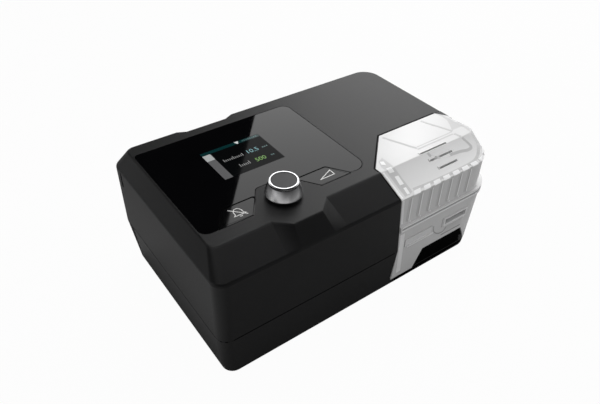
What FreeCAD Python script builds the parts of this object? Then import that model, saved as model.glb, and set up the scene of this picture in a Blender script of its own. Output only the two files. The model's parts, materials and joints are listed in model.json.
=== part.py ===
import FreeCAD, Part
import math
import os

# A bedside CPAP machine with a slide-in humidifier, in millimetres.
# X runs along the front from the left end, Y from the front wall to the back, Z up.
# Every piece is drawn from the case's front left corner, at the underside of the tray,
# and moved at the end so that the origin is the middle of the bounding box, on the
# surface that the feet stand on.

V = FreeCAD.Vector
UPWARDS = V(0, 0, 1)
ALONG_Y = V(0, 1, 0)

# ---------------------------------------------------------------- driving dimensions

# case
case_length = 290.0
case_depth = 183.0
case_height = 116.5
seam_height = 43.0          # where the upper case meets the tray
shoulder_height = case_height - 13.0    # where the walls turn into the slopes
wall = 2.5
tray_floor = 3.0
seam_lap = 2.0              # height of the tongue that locates the upper case in the tray
lap_clearance = 0.15

# insets of the top outline from the walls
top_inset_left = 11.0
top_inset_front = 26.5
top_inset_right = 2.5
top_inset_back = 6.0
# insets of the underside from the walls
foot_inset_left = 4.0
foot_inset_front = 1.5
foot_inset_right = 2.0
foot_inset_back = 9.0

corner_front_left = 10.0
corner_front_right = 20.0
corner_back_right = 15.0
corner_back_left = 9.0
top_corner_front_left = 6.0
top_corner_back_right = 17.0
top_corner_back_left = 7.0

# knob and the nose of the top that carries it
knob_x = 88.5
knob_y = 47.5
nose_reach = 11.5           # how far the nose comes forward of the top's front edge
nose_tip_half = 13.5
nose_root_half = 26.0
nose_spread = 2.5           # how much wider the nose's foot is on each side
notch_reach = 4.0           # the matching notch in the back edge
notch_tip_half = 20.0
notch_root_half = 28.5

# humidifier bay, open to the front and the right, placed from the right end
bay_left_top = case_length - 118.5
bay_left_seam = case_length - 111.5
bay_left_foot = case_length - 114.5
bay_back = 69.7
bay_cut_x = case_length - 82.0          # the 45 degree corner of the bay ends here on the back wall
bay_floor = 8.0
rail_height = 28.0          # dock rail that the tub straddles
rail_slant = 10.0           # how much wider the rail is at its foot, on each side
rail_left_top = case_length - 77.0
rail_right_top = case_length - 26.0
rail_left_foot = rail_left_top - rail_slant
rail_right_foot = rail_right_top + rail_slant
bay_clearance = 0.5
beyond = 40.0               # how far cutting shapes run past the case

# humidifier
lid_corner = 30.0
lid_top_corner = 10.0
lid_inset_right = 3.0
end_flare = 8.0             # how far the humidifier's right end leans out towards the front
top_flare = 4.0             # the same at the lid's flat top
foot_flare = -3.0           # the same at the level of the case's underside
tub_proud_right = 1.0       # the tub is this much longer than the case
tub_corner = 24.0
rim_proud = 4.0
rim_proud_front = 1.6
rim_bottom = 65.5
rim_split = 68.8
rim_top = 72.5
rim_gap = 0.4
tub_wall = 2.2
lid_wall = 2.0

top_edge_round = 0.8        # how far the top edge's rounding reaches down the slopes and onto the top
shoulder_round = 1.6        # how far below the shoulder its rounding starts
tray_edge_radius = 2.0      # rounding round the underside
lid_edge_radius = 2.5       # rounding of the lid's top edge

foot_stand = 1.5            # how far the rubber feet stand out below the tray

# display glass and keys on the top
glass_thickness = 1.6
glass_gap = 0.25
glass_x0 = top_inset_left + 1.6
glass_x1 = bay_left_top - 1.5
glass_y0 = top_inset_front + 14.0
glass_y1 = case_depth - 20.0
top_skin = 3.5
key_back = glass_y0 + 18.5  # far edge of the keys
key_outer_half = 62.6       # the keys' outer corners, measured from the knob's centre
key_inner_half = 32.4
key_slant = 12.8            # how far the keys lean towards the knob
key_gap = 0.6
key_flange = 1.2
key_travel = 0.8
knob_bay_depth = 26.5       # how far the glass leaves the knob's tongue bare
screen_x0 = knob_x - 28.5
screen_x1 = knob_x + 31.0
screen_y0 = key_back + 31.0
screen_y1 = screen_y0 + 44.0
screen_border = 5.0

# knob
knob_radius = 15.5
knob_ring_radius = 12.2
knob_cap_radius = 10.6
knob_height = 15.0          # top of the knob above the case
knob_lift = 1.8             # gap under the skirt
knob_travel = 0.6
shaft_radius = 3.0
shaft_clearance = 0.05
encoder_side = 13.0
bushing_radius = 4.5
bushing_clearance = 0.2
bushing_top = case_height + 1.5
encoder_floor = case_height - 9.5
switch_top = case_height - 6.3
switch_plunger = 0.8

# circuit boards
board_thickness = 1.6
board_corner = 3.0
board_screw_inset = 5.0
ui_board_depth = 12.5       # underside of the display board below the top of the case
main_board_height = 8.0

# blower, close behind the bay
riser_y0 = bay_back + wall + 2.5
riser_y1 = riser_y0 + 11.3
volute_radius = 42.0
volute_wall = 2.0
blower_x = case_length - 62.0
blower_y = riser_y1 + volute_radius
impeller_radius = 30.0
blower_base_z = 24.0
blower_split_z = 38.0
blower_top_z = 53.0
eye_radius = 13.0
motor_radius = 18.0
bearing_radius = 5.0
rotor_shaft_radius = 2.0
motor_height = 15.5
mount_circle = 36.0

# air path
inlet_duct_z0 = blower_top_z + 5.0
inlet_duct_z1 = inlet_duct_z0 + 16.0
port_z = rim_top + 13.5
port_in_x = case_length - 58.0
port_out_x = case_length - 22.0
port_radius = 7.6
duct_wall = 1.5
duct_slip = 0.1             # gap round a duct where it passes through a wall
nozzle_half = 10.0          # half the width of the blower's square outlet
outlet_radius = 11.0        # 22 mm male connector for the hose
outlet_length = 18.0
outlet_root = 0.6           # how much thicker the connector is where it passes through the wall
outlet_flange = 14.0
outlet_flange_thickness = 3.0
seal_radius = 11.5
seal_seat = 1.5             # depth of the seat of each dock seal in the bay wall
seal_proud = 0.25
duct_y0 = blower_y - 10.0
duct_y1 = blower_y + 10.0
return_turn = (riser_y1 + 14.0, riser_y1 + 44.0)     # the return duct steps sideways between these
silencer_x = (16.0, 80.0)
silencer_y = (duct_y0 - 14.0, case_depth - 29.5)
silencer_wall = 1.8

# air filter behind the louvred corner
filter_x1 = 58.0
filter_y0 = case_depth - 20.0
filter_frame_y0 = silencer_y[1] + 0.3
filter_pad_y = (filter_frame_y0 + 1.5, filter_frame_y0 + 5.5)
filter_foam_thickness = 8.0
filter_z0 = 6.5
filter_z1 = 40.0
filter_gap = 0.35
louvre_pitch = 5.6
louvre_slot = 2.0
louvre_depth = 1.2
filter_frame_wall = 1.5

# memory card
card_y = case_depth - 16.0
card_z = case_height - 22.5
card_slot_width = 3.0
card_slot_height = 15.0
card_width = 11.0
card_thickness = 1.2
card_length = 15.0
card_recess = 1.0

# sockets in the back wall
socket_x = knob_x + 61.5
socket_z = seam_height + 15.0
socket_radius = 5.2
socket_depth = 13.0
service_x = knob_x + 33.5
service_half = 4.5          # half the width of the service port's mouth

# heater
heater_x0 = rail_left_top + 6.0
heater_x1 = rail_right_top - 6.0
heater_y0 = 9.0
heater_y1 = bay_back - 9.7
heater_proud = 0.2
heater_lip = 2.0
heater_gap = 0.35

# tub and lid details
slot_x0 = case_length - 53.2
slot_x1 = slot_x0 + 27.3
slot_z0 = seam_height + 3.5
slot_z1 = slot_z0 + 6.0
slot_depth = 10.0
release_x0 = bay_left_foot + 10.5
release_x1 = release_x0 + 34.0
release_z0 = seam_height + 1.0
release_z1 = release_z0 + 9.0
release_travel = 1.5
release_pocket = 6.0
release_proud = 0.6         # how far the release key stands out of the tub's front
release_plate = 2.0
hinge_x = case_length + rim_proud + end_flare
hinge_y0 = 28.0
hinge_y1 = 58.0
hinge_radius = 3.2
hinge_pin_radius = 1.3
hinge_clearance = 0.05
hinge_side_gap = 0.4
hinge_z = rim_split - 0.2
corner_cut_x = case_length - 10.3       # the dark corner piece takes the lid's rear right corner
corner_cut_y = bay_back - 14.7
rib_pitch = 12.1
rib_first_x = case_length - 105.5
rib_count = 7
rib_width = 1.2
rib_depth = 0.5

# fastenings and feet
foot_radius = 7.0
foot_recess = 1.0
screw_radius = 1.5
screw_head_radius = 2.8
screw_head_height = 2.0
screw_inset = 7.0           # from the edge of the underside to each case screw
boss_radius = 4.0
screw_hole_gap = 0.2
case_screw_reach = 12.0     # length of thread in the upper case
small_screw_radius = 1.0
small_head_radius = 1.9
small_head_height = 1.2


# ---------------------------------------------------------------- drawing helpers

def box(x0, y0, z0, x1, y1, z1):
    """A block between two opposite corners."""
    return Part.makeBox(x1 - x0, y1 - y0, z1 - z0, V(x0, y0, z0))


def cylinder(x, y, z, radius, length, axis=UPWARDS):
    """A round bar that starts at a point and runs along an axis."""
    return Part.makeCylinder(radius, length, V(x, y, z), axis)


def outline(corners, z):
    """A closed wire through (x, y, radius) corners, each rounded by its own radius."""
    count = len(corners)
    ends = []
    for i, (x, y, radius) in enumerate(corners):
        here = V(x, y, z)
        back = V(corners[i - 1][0], corners[i - 1][1], z) - here
        ahead = V(corners[(i + 1) % count][0], corners[(i + 1) % count][1], z) - here
        back.normalize()
        ahead.normalize()
        if radius == 0:
            ends.append((here, None, here))
            continue
        half_angle = back.getAngle(ahead) / 2
        reach = radius / math.tan(half_angle)
        bisector = back + ahead
        bisector.normalize()
        middle = here + bisector * (radius / math.sin(half_angle) - radius)
        ends.append((here + back * reach, middle, here + ahead * reach))
    edges = []
    for i, (start, middle, end) in enumerate(ends):
        if middle is not None:
            edges.append(Part.Arc(start, middle, end).toShape())
        edges.append(Part.LineSegment(end, ends[(i + 1) % count][0]).toShape())
    return Part.Wire(edges)


def prism(corners, z0, z1):
    """An upright block whose plan is the rounded outline."""
    return Part.Face(outline(corners, z0)).extrude(V(0, 0, z1 - z0))


def frustum(lower, z0, upper, z1):
    """A block with straight sides between two outlines of as many corners."""
    return Part.makeLoft([outline(lower, z0), outline(upper, z1)], True, True)


def front_prism(profile, y0, y1):
    """A block along Y whose front view is a polygon of (x, z) points."""
    points = [V(x, y0, z) for x, z in profile]
    return Part.Face(Part.makePolygon(points + points[:1])).extrude(V(0, y1 - y0, 0))


# ---------------------------------------------------------------- case form

def case_ring(x0, x1, y0, y1, nose, notch, spread, radii):
    """The case's outline in plan, with the nose in front and the notch at the back."""
    front_left, front_right, back_right, back_left = radii
    return [
        (x0, y0, front_left),
        (knob_x - nose_root_half - spread, y0, 0),
        (knob_x - nose_tip_half - spread, y0 - nose, 0),
        (knob_x + nose_tip_half + spread, y0 - nose, 0),
        (knob_x + nose_root_half + spread, y0, 0),
        (x1, y0, front_right),
        (x1, y1, back_right),
        (knob_x + notch_root_half, y1, 0),
        (knob_x + notch_tip_half, y1 - notch, 0),
        (knob_x - notch_tip_half, y1 - notch, 0),
        (knob_x - notch_root_half, y1, 0),
        (x0, y1, back_left),
    ]


def wall_ring(inset):
    """Outline of the upright walls, drawn in by an inset."""
    radii = [r - inset for r in (corner_front_left, corner_front_right, corner_back_right, corner_back_left)]
    return case_ring(inset, case_length - inset, inset, case_depth - inset, 0, 0, nose_spread, radii)


def part_way(start, end, share):
    """The outline at a share of the way between two with the same points."""
    return [tuple(a + (b - a) * share for a, b in zip(p, q)) for p, q in zip(start, end)]


def slope_ring(share):
    """Outline of the slopes at a share of the way from the walls to the flat top."""
    return part_way(wall_ring(0), top_ring(0), share)


def top_ring(inset):
    """Outline of the flat top, drawn in by an inset."""
    radii = (top_corner_front_left, corner_front_right, top_corner_back_right, top_corner_back_left)
    return case_ring(top_inset_left + inset, case_length - top_inset_right - inset,
                     top_inset_front + inset, case_depth - top_inset_back - inset,
                     nose_reach, notch_reach, 0, radii)


def foot_ring(inset):
    """Outline of the underside, drawn in by an inset."""
    radii = [r - inset for r in (corner_front_left, corner_front_right, corner_back_right, corner_back_left)]
    return case_ring(foot_inset_left + inset, case_length - foot_inset_right - inset,
                     foot_inset_front + inset, case_depth - foot_inset_back - inset, 0, 0, nose_spread, radii)


def upper_form(inset):
    """The solid form of the upper case, drawn in by an inset on every side but the bottom."""
    walls = prism(wall_ring(inset), seam_height, shoulder_height)
    slopes = frustum(wall_ring(inset), shoulder_height, top_ring(inset), case_height - inset)
    return walls.fuse(slopes).removeSplitter()


def rounded_upper_form():
    """The upper case's outer form, with its shoulder and its top edge rounded by narrow bands."""
    slope_height = case_height - shoulder_height
    share = shoulder_round / 2 / slope_height
    edge_foot = slope_ring(1 - top_edge_round / slope_height)
    edge_end = top_ring(top_edge_round)
    edge_middle = part_way(part_way(edge_foot, top_ring(0), 0.5), part_way(top_ring(0), edge_end, 0.5), 0.5)
    levels = [
        (seam_height, wall_ring(0)),
        (shoulder_height - shoulder_round, wall_ring(0)),
        (shoulder_height - shoulder_round / 8, slope_ring(share * 0.35)),
        (shoulder_height + share * slope_height, slope_ring(share)),
        (case_height - top_edge_round, edge_foot),
        (case_height - top_edge_round / 4, edge_middle),
        (case_height, edge_end),
    ]
    form = frustum(levels[0][1], levels[0][0], levels[1][1], levels[1][0])
    for (z0, lower), (z1, upper) in zip(levels[1:-1], levels[2:]):
        form = form.fuse(frustum(lower, z0, upper, z1))
    return form.removeSplitter()


def lower_form(inset, floor):
    """The solid form of the tray, drawn in by an inset, above a floor."""
    return frustum(foot_ring(inset), floor, wall_ring(inset), seam_height)


def bay_form(inset):
    """The space of the humidifier bay, drawn in by an inset (grown by a negative one)."""
    diagonal = bay_cut_x - bay_back
    slack = inset * math.sqrt(2)
    near = bay_left_top - beyond
    far = case_length + beyond
    plan = [
        (near, -beyond, 0),
        (far, -beyond, 0),
        (far, bay_back - inset, 0),
        (bay_cut_x + inset * math.tan(math.pi / 8), bay_back - inset, 0),
        (near, near - diagonal - slack, 0),
    ]
    profile = [
        (bay_left_foot + inset, bay_floor + inset),
        (rail_left_foot - inset, bay_floor + inset),
        (rail_left_top - inset, rail_height + inset),
        (rail_right_top + inset, rail_height + inset),
        (rail_right_foot + inset, bay_floor + inset),
        (far, bay_floor + inset),
        (far, case_height + beyond),
        (bay_left_top + inset, case_height + beyond),
        (bay_left_top + inset, case_height),
        (bay_left_seam + inset, seam_height),
    ]
    return prism(plan, -5, case_height + beyond + 5).common(front_prism(profile, -beyond - 5, bay_back + 5))


# ---------------------------------------------------------------- humidifier form

def humidifier_ring(x1, y0, corner, flare=end_flare):
    """A plan outline that only matters at its front and at its right side, which leans out by a flare."""
    x0 = bay_left_top - beyond
    y1 = bay_back + beyond / 2
    return [(x0, y0, 0), (x1 + flare, y0, corner), (x1, corner_cut_y, 0), (x1, y1, 0), (x0, y1, 0)]


def lid_form(inset, extra=0):
    """The lid's form above the split; extra lengthens it downwards."""
    wall_plan = humidifier_ring(case_length - inset, inset, lid_corner - inset)
    top_plan = humidifier_ring(case_length - lid_inset_right - inset, top_inset_front + inset,
                               lid_top_corner, top_flare)
    walls = prism(wall_plan, rim_split - extra, shoulder_height)
    slopes = frustum(wall_plan, shoulder_height, top_plan, case_height - inset)
    return walls.fuse(slopes).common(bay_form(bay_clearance + inset))


def tub_form(inset, extra=0):
    """The tub's form below its rim; extra lengthens it upwards."""
    end = case_length + tub_proud_right - inset
    foot = humidifier_ring(end, inset, tub_corner - inset, foot_flare)
    plan = humidifier_ring(end, inset, tub_corner - inset)
    form = frustum(foot, 0, plan, rim_bottom).fuse(prism(plan, rim_bottom, tub_top + extra))
    return form.common(bay_form(bay_clearance + inset))


def rectangle(x0, y0, x1, y1, radius):
    """Corners of a rectangle for an outline, all with one radius."""
    return [(x0, y0, radius), (x1, y0, radius), (x1, y1, radius), (x0, y1, radius)]


def upright_slot(x0, x1, y, half_width, z0, z1):
    """A block along X with nearly half-round ends."""
    return prism(rectangle(x0, y - half_width, x1, y + half_width, half_width * 0.98), z0, z1)


def ring(x, y, z, outer, inner, length, axis=UPWARDS):
    """A tube that starts at a point and runs along an axis."""
    return cylinder(x, y, z, outer, length, axis).cut(cylinder(x, y, z, inner, length, axis))


def slope_z(y):
    """Height of the front slope above a place on it."""
    return shoulder_height + (case_height - shoulder_height) * y / top_inset_front


def turned(profile, x, y):
    """A solid of revolution about an upright axis, from edges in the XZ plane."""
    solid = Part.Face(Part.Wire(profile)).revolve(V(0, 0, 0), V(0, 0, 1), 360)
    solid.translate(V(x, y, 0))
    return solid


def group(shapes):
    """Separate solids that share a node."""
    return Part.makeCompound(shapes)


# ---------------------------------------------------------------- places that several pieces share

skin_z = case_height - top_skin
ui_board_z = case_height - ui_board_depth
ui_board_top = ui_board_z + board_thickness
ui_board_x = (glass_x0 + 3.4, glass_x1 - 4.0)
ui_board_y = (glass_y0 - 6.5, glass_y1 - 5.0)
ui_board_screws = [(x, y)
                   for x in (ui_board_x[0] + board_screw_inset, ui_board_x[1] - board_screw_inset)
                   for y in (key_back + 13.0, ui_board_y[1] - 8.0)]
main_board_top = main_board_height + board_thickness
main_board_x = (13.0, bay_left_foot - 18.5)
main_board_y = (16.0, silencer_y[0] - 6.0)
main_board_screws = [(x, y)
                     for x in (main_board_x[0] + board_screw_inset, main_board_x[1] - board_screw_inset)
                     for y in (main_board_y[0] + board_screw_inset, main_board_y[1] - board_screw_inset)]
blower_mount_angles = (90.0, 210.0, 330.0)
blower_mounts_at = [(blower_x + mount_circle * math.cos(math.radians(a)),
                     blower_y + mount_circle * math.sin(math.radians(a))) for a in blower_mount_angles]
foot_inset = 24.0
foot_spots = [(foot_inset, foot_inset - 3), (foot_inset, case_depth - foot_inset - 9),
              (case_length - foot_inset, foot_inset - 3), (case_length - foot_inset, case_depth - foot_inset)]
# case screws: place, and the direction of the wall that carries the boss
screw_left = foot_inset_left + screw_inset
screw_front = foot_inset_front + screw_inset
screw_right = case_length - foot_inset_right - screw_inset
screw_back = case_depth - foot_inset_back - screw_inset
case_screws = [
    (screw_left, screw_front + 3.0, -1, 0),
    (screw_left, silencer_y[0] - 4.0, -1, 0),
    (bay_left_foot - 15.5, screw_front, 0, -1),
    (service_x - 22.0, screw_back, 0, 1),
    (socket_x + 30.0, screw_back, 0, 1),
    (screw_right, blower_y - 28.0, 1, 0),
    (screw_right, screw_back - 5.0, 1, 0),
]
heater_springs_at = [(x, y) for x in (heater_x0 + 5, heater_x1 - 5) for y in (heater_y0 + 7, heater_y1 - 7)]
heater_top = rail_height + heater_proud
heater_lip_top = rail_height - wall - 0.1
heater_lip_thickness = 2.0
spring_post_height = 5.0
outlet_x = port_out_x - 10.0
tub_top = rim_split - rim_gap
base_plate_z = heater_top + 0.3
rim_corner = tub_corner + rim_proud
release_mid_x = (release_x0 + release_x1) / 2
release_mid_z = (release_z0 + release_z1) / 2
# grip grooves of the lid: left end, right end, place along Y
lid_groove_places = [(case_length - 71.0, case_length - 39.0, top_inset_front + 1.0),
                     (case_length - 67.0, case_length - 39.5, top_inset_front - 7.7),
                     (case_length - 63.5, case_length - 41.0, top_inset_front - 16.3)]
lid_groove_half = 0.9
lid_groove_depth = 1.3


# ---------------------------------------------------------------- case

def key_corners(side, grow=0.0):
    """Plan of a key left (-1) or right (1) of the knob, as a parallelogram."""
    lean = key_slant / (key_back - glass_y0)
    side_grow = grow * math.sqrt(1 + lean * lean)
    low = glass_y0 - grow
    high = key_back + grow
    outer_low = key_outer_half + side_grow + lean * grow
    inner_low = key_inner_half - side_grow + lean * grow
    climb = lean * (high - low)
    corners = [(knob_x + side * outer_low, low, 1.0), (knob_x + side * inner_low, low, 1.0),
               (knob_x + side * (inner_low - climb), high, 2.0),
               (knob_x + side * (outer_low - climb), high, 3.0)]
    return corners if side < 0 else corners[::-1]


def knob_bay(grow):
    """Plan of the part of the glass that is left out for the knob."""
    lean = key_slant / (key_back - glass_y0)
    front = glass_y0 - 10.0
    back = glass_y0 + knob_bay_depth + grow
    half_front = key_inner_half + lean * (glass_y0 - front) + grow
    half_back = key_inner_half - lean * knob_bay_depth + grow
    return [(knob_x - half_front, front, 0), (knob_x + half_front, front, 0),
            (knob_x + half_back, back, 5.0), (knob_x - half_back, back, 5.0)]


def glass_corners(grow):
    """Plan of the glass, with its keys and the knob's tongue filled in."""
    return [(glass_x0 - grow, glass_y0 - grow, 8.0), (glass_x1 + grow, glass_y0 - grow, 12.0),
            (glass_x1 + grow, glass_y1 + grow, 8.0), (glass_x0 - grow, glass_y1 + grow, 4.0)]


def display_module_corners(grow):
    """Plan of the display's frame."""
    return rectangle(screen_x0 - screen_border - grow, screen_y0 - screen_border - grow,
                     screen_x1 + screen_border + grow, screen_y1 + screen_border + grow, 1.0)


def seam_ring(outer, inner, z0, z1):
    """A band along the case wall, left out at the bay."""
    band = prism(wall_ring(outer), z0, z1).cut(prism(wall_ring(inner), z0, z1))
    return band.cut(bay_form(-wall))


def boss_web(x, y, dx, dy, z0, z1):
    """The rib between a screw boss and the wall next to it."""
    half = 1.0
    end_x = {-1: 0, 0: x, 1: case_length}[dx]
    end_y = {-1: 0, 0: y, 1: case_depth}[dy]
    spread_x = 0 if dx else half
    spread_y = 0 if dy else half
    return box(min(x, end_x) - spread_x, min(y, end_y) - spread_y, z0,
               max(x, end_x) + spread_x, max(y, end_y) + spread_y, z1)


def top_cover():
    solid = rounded_upper_form()
    hollow = upper_form(wall).common(box(-9, -9, 0, case_length + 9, case_depth + 9, skin_z))
    shell = solid.cut(hollow.cut(bay_form(-wall))).cut(bay_form(0))
    shell = shell.fuse(seam_ring(wall / 2, wall, seam_height - seam_lap, seam_height + 0.5))
    # bosses for the case screws and for the display board
    boss_top = seam_height + 18.0
    for x, y, dx, dy in case_screws:
        post = cylinder(x, y, seam_height, boss_radius, boss_top - seam_height)
        post = post.fuse(boss_web(x, y, dx, dy, seam_height, boss_top)).common(upper_form(wall / 2))
        hole = cylinder(x, y, seam_height - 1, screw_radius, case_screw_reach + 1.5)
        shell = shell.fuse(post).cut(hole)
    for x, y in ui_board_screws:
        post = cylinder(x, y, ui_board_top, 3.0, skin_z - ui_board_top + 0.5)
        shell = shell.fuse(post).cut(cylinder(x, y, ui_board_top - 1, small_screw_radius, 6.0))
    # recess for the glass, less the tongue of the top that carries the knob
    recess = prism(glass_corners(glass_gap), case_height - glass_thickness, case_height + 1)
    shell = shell.cut(recess.cut(prism(knob_bay(-glass_gap), 0, case_height + 2)))
    cuts = [prism(display_module_corners(0.5), skin_z - 5, case_height)]
    cuts += [prism(key_corners(side, key_gap), skin_z - 5, case_height + 1) for side in (-1, 1)]
    cuts.append(cylinder(knob_x, knob_y, skin_z - 5, bushing_radius + bushing_clearance, 20))
    # dock ports, with a seat for each seal
    for x in (port_in_x, port_out_x):
        cuts.append(cylinder(x, bay_back - 1, port_z, port_radius + duct_wall + duct_slip, 8, ALONG_Y))
        cuts.append(cylinder(x, bay_back - 1, port_z, seal_radius, seal_seat + 1, ALONG_Y))
    # outlet, power socket, service port, card slot
    cuts.append(cylinder(outlet_x, case_depth - 9, port_z, outlet_radius + outlet_root + 0.2, 20, ALONG_Y))
    cuts.append(cylinder(socket_x, case_depth - 9, socket_z, socket_radius + 0.3, 20, ALONG_Y))
    cuts.append(box(service_x - service_half - 0.5, case_depth - 5, socket_z - 3,
                    service_x + service_half + 0.5, case_depth + 5, socket_z + 3))
    cuts.append(box(-1, card_y - card_slot_width / 2, card_z - card_slot_height / 2,
                    wall + 1, card_y + card_slot_width / 2, card_z + card_slot_height / 2))
    for cut in cuts:
        shell = shell.cut(cut)
    return shell


def base_tray():
    solid = lower_form(0, 0)
    underside = [e for e in solid.Edges if e.BoundBox.ZMax < 0.01]
    solid = solid.makeFillet(tray_edge_radius, underside)
    hollow = lower_form(wall, tray_floor).cut(bay_form(-wall))
    shell = solid.cut(hollow).cut(bay_form(0))
    shell = shell.cut(seam_ring(wall / 2 - lap_clearance, wall + 1, seam_height - seam_lap - lap_clearance,
                                seam_height + 1))
    for x, y, dx, dy in case_screws:
        post = cylinder(x, y, 0.5, boss_radius, seam_height - 0.7).common(lower_form(wall / 2, 0.5))
        shell = shell.fuse(post)
        shell = shell.cut(cylinder(x, y, -1, screw_radius + screw_hole_gap, seam_height + 2))
        shell = shell.cut(cylinder(x, y, -1, screw_head_radius + screw_hole_gap, tray_floor + 1))
    for x, y in main_board_screws:
        shell = shell.fuse(cylinder(x, y, tray_floor - 0.5, 3.2, main_board_height - tray_floor + 0.5))
        shell = shell.cut(cylinder(x, y, tray_floor + 1, small_screw_radius, 8))
    for x, y in foot_spots:
        shell = shell.cut(cylinder(x, y, -1, foot_radius + 0.1, foot_recess + 1))
    for x, y in heater_springs_at:
        shell = shell.fuse(cylinder(x, y, tray_floor - 0.5, 2.0, spring_post_height + 0.5))
    shell = shell.cut(box(heater_x0 - heater_gap, heater_y0 - heater_gap, rail_height - wall - 2,
                          heater_x1 + heater_gap, heater_y1 + heater_gap, rail_height + 2))
    return shell.cut(box(-5, filter_y0 - filter_gap, filter_z0 - filter_gap,
                         filter_x1 + filter_gap, case_depth + 9, filter_z1 + filter_gap))


def rubber_feet():
    return group([cylinder(x, y, -foot_stand, foot_radius, foot_stand + foot_recess) for x, y in foot_spots])


def case_screw_set():
    screws = []
    for x, y, dx, dy in case_screws:
        head = cylinder(x, y, tray_floor - screw_head_height, screw_head_radius, screw_head_height)
        socket = Part.makeBox(3.6, 0.8, 1.0, V(x - 1.8, y - 0.4, tray_floor - screw_head_height))
        shank = cylinder(x, y, tray_floor, screw_radius, seam_height - tray_floor + case_screw_reach)
        screws.append(head.fuse(shank).cut(socket))
    return group(screws)


# ---------------------------------------------------------------- top controls

def display_glass():
    glass = prism(glass_corners(0), case_height - glass_thickness, case_height)
    glass = glass.cut(prism(knob_bay(0), 0, case_height + 2))
    for side in (-1, 1):
        glass = glass.cut(prism(key_corners(side, key_gap), 0, case_height + 2))
    return glass


def display_module():
    """The display in its frame, just under the glass."""
    top = case_height - glass_thickness - 0.2
    frame = prism(display_module_corners(0), top - 4.0, top)
    window = box(screen_x0, screen_y0, top - 0.4, screen_x1, screen_y1, top + 1)
    return frame.cut(window)


def display_bracket():
    """The frame that holds the display off its board."""
    top = case_height - glass_thickness - 4.2
    outer = prism(display_module_corners(0), ui_board_top, top)
    return outer.cut(prism(display_module_corners(-3.0), ui_board_top - 1, top + 1))


def key(side):
    flange_top = skin_z - 0.15
    flange_bottom = flange_top - key_flange
    cap = prism(key_corners(side), flange_bottom, case_height)
    flange = prism(key_corners(side, key_gap + 1.0), flange_bottom, flange_top)
    x, y = key_centre(side)
    stem_bottom = switch_top + key_travel + 0.1
    stem = cylinder(x, y, stem_bottom, 2.2, flange_bottom - stem_bottom + 0.5)
    return cap.fuse(flange).fuse(stem)


def key_centre(side):
    return knob_x + side * (key_outer_half + key_inner_half - key_slant) / 2, (glass_y0 + key_back) / 2


def key_switches():
    switches = []
    for side in (-1, 1):
        x, y = key_centre(side)
        body_top = switch_top - switch_plunger
        body = box(x - 3, y - 3, ui_board_top, x + 3, y + 3, body_top)
        switches.append(body.fuse(cylinder(x, y, body_top, 1.7, switch_plunger)))
    return group(switches)


def ui_board():
    plan = rectangle(ui_board_x[0], ui_board_y[0], ui_board_x[1], ui_board_y[1], board_corner)
    board = prism(plan, ui_board_z, ui_board_top)
    for x, y in ui_board_screws:
        board = board.cut(cylinder(x, y, ui_board_z - 1, small_screw_radius + screw_hole_gap, 5))
    return board


def board_screw_set():
    screws = []
    for x, y in ui_board_screws:
        head = cylinder(x, y, ui_board_z - small_head_height, small_head_radius, small_head_height)
        screws.append(head.fuse(cylinder(x, y, ui_board_z, small_screw_radius, 5.0)))
    for x, y in main_board_screws:
        head = cylinder(x, y, main_board_top, small_head_radius, small_head_height)
        tip = tray_floor + 1.5
        screws.append(head.fuse(cylinder(x, y, tip, small_screw_radius, main_board_top - tip)))
    return group(screws)


def encoder_body():
    half = encoder_side / 2
    block = box(knob_x - half, knob_y - half, ui_board_top, knob_x + half, knob_y + half, skin_z - 0.4)
    bushing = cylinder(knob_x, knob_y, skin_z - 1, bushing_radius, bushing_top - skin_z + 1)
    bore = cylinder(knob_x, knob_y, encoder_floor, shaft_radius + shaft_clearance, 30)
    return block.fuse(bushing).cut(bore)


def encoder_nut():
    """Hexagon nut that clamps the encoder to the top of the case."""
    corner_radius = 6.6
    corners = []
    for i in range(6):
        angle = math.radians(60 * i)
        corners.append(V(knob_x + corner_radius * math.cos(angle),
                         knob_y + corner_radius * math.sin(angle), case_height))
    nut = Part.Face(Part.makePolygon(corners + corners[:1])).extrude(V(0, 0, bushing_top - case_height - 0.2))
    return nut.cut(cylinder(knob_x, knob_y, case_height - 1, bushing_radius, 9))


def encoder_plunger():
    return cylinder(knob_x, knob_y, encoder_floor + knob_travel + 0.1, shaft_radius - 0.1, 0.8)


def encoder_shaft():
    foot = encoder_floor + knob_travel + 1.0
    return cylinder(knob_x, knob_y, foot, shaft_radius, case_height + knob_height - 3.5 - foot)


def knob_body():
    """Flared aluminium skirt with a hub on the shaft."""
    low = case_height + knob_lift
    top = case_height + knob_height - 2.0
    neck = knob_ring_radius - 0.2
    widest = low + 2.0
    mid_side = V((knob_radius + neck) / 2 + 0.25, 0, (widest + top) / 2)
    profile = [
        Part.LineSegment(V(0, 0, top), V(0, 0, top - 1.2)).toShape(),
        Part.LineSegment(V(0, 0, top - 1.2), V(shaft_radius, 0, top - 1.5)).toShape(),
        Part.LineSegment(V(shaft_radius, 0, top - 1.5), V(shaft_radius, 0, low + 1.6)).toShape(),
        Part.LineSegment(V(shaft_radius, 0, low + 1.6), V(shaft_radius + 2, 0, low + 1.6)).toShape(),
        Part.LineSegment(V(shaft_radius + 2, 0, low + 1.6), V(shaft_radius + 2, 0, top - 3)).toShape(),
        Part.LineSegment(V(shaft_radius + 2, 0, top - 3), V(neck - 2, 0, top - 3)).toShape(),
        Part.LineSegment(V(neck - 2, 0, top - 3), V(knob_radius - 2.4, 0, low)).toShape(),
        Part.LineSegment(V(knob_radius - 2.4, 0, low), V(knob_radius - 1.0, 0, low)).toShape(),
        Part.Arc(V(knob_radius - 1.0, 0, low), V(knob_radius - 0.25, 0, low + 0.7),
                 V(knob_radius, 0, widest)).toShape(),
        Part.Arc(V(knob_radius, 0, widest), mid_side, V(neck, 0, top)).toShape(),
        Part.LineSegment(V(neck, 0, top), V(0, 0, top)).toShape(),
    ]
    return turned(profile, knob_x, knob_y).cut(encoder_shaft())


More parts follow.
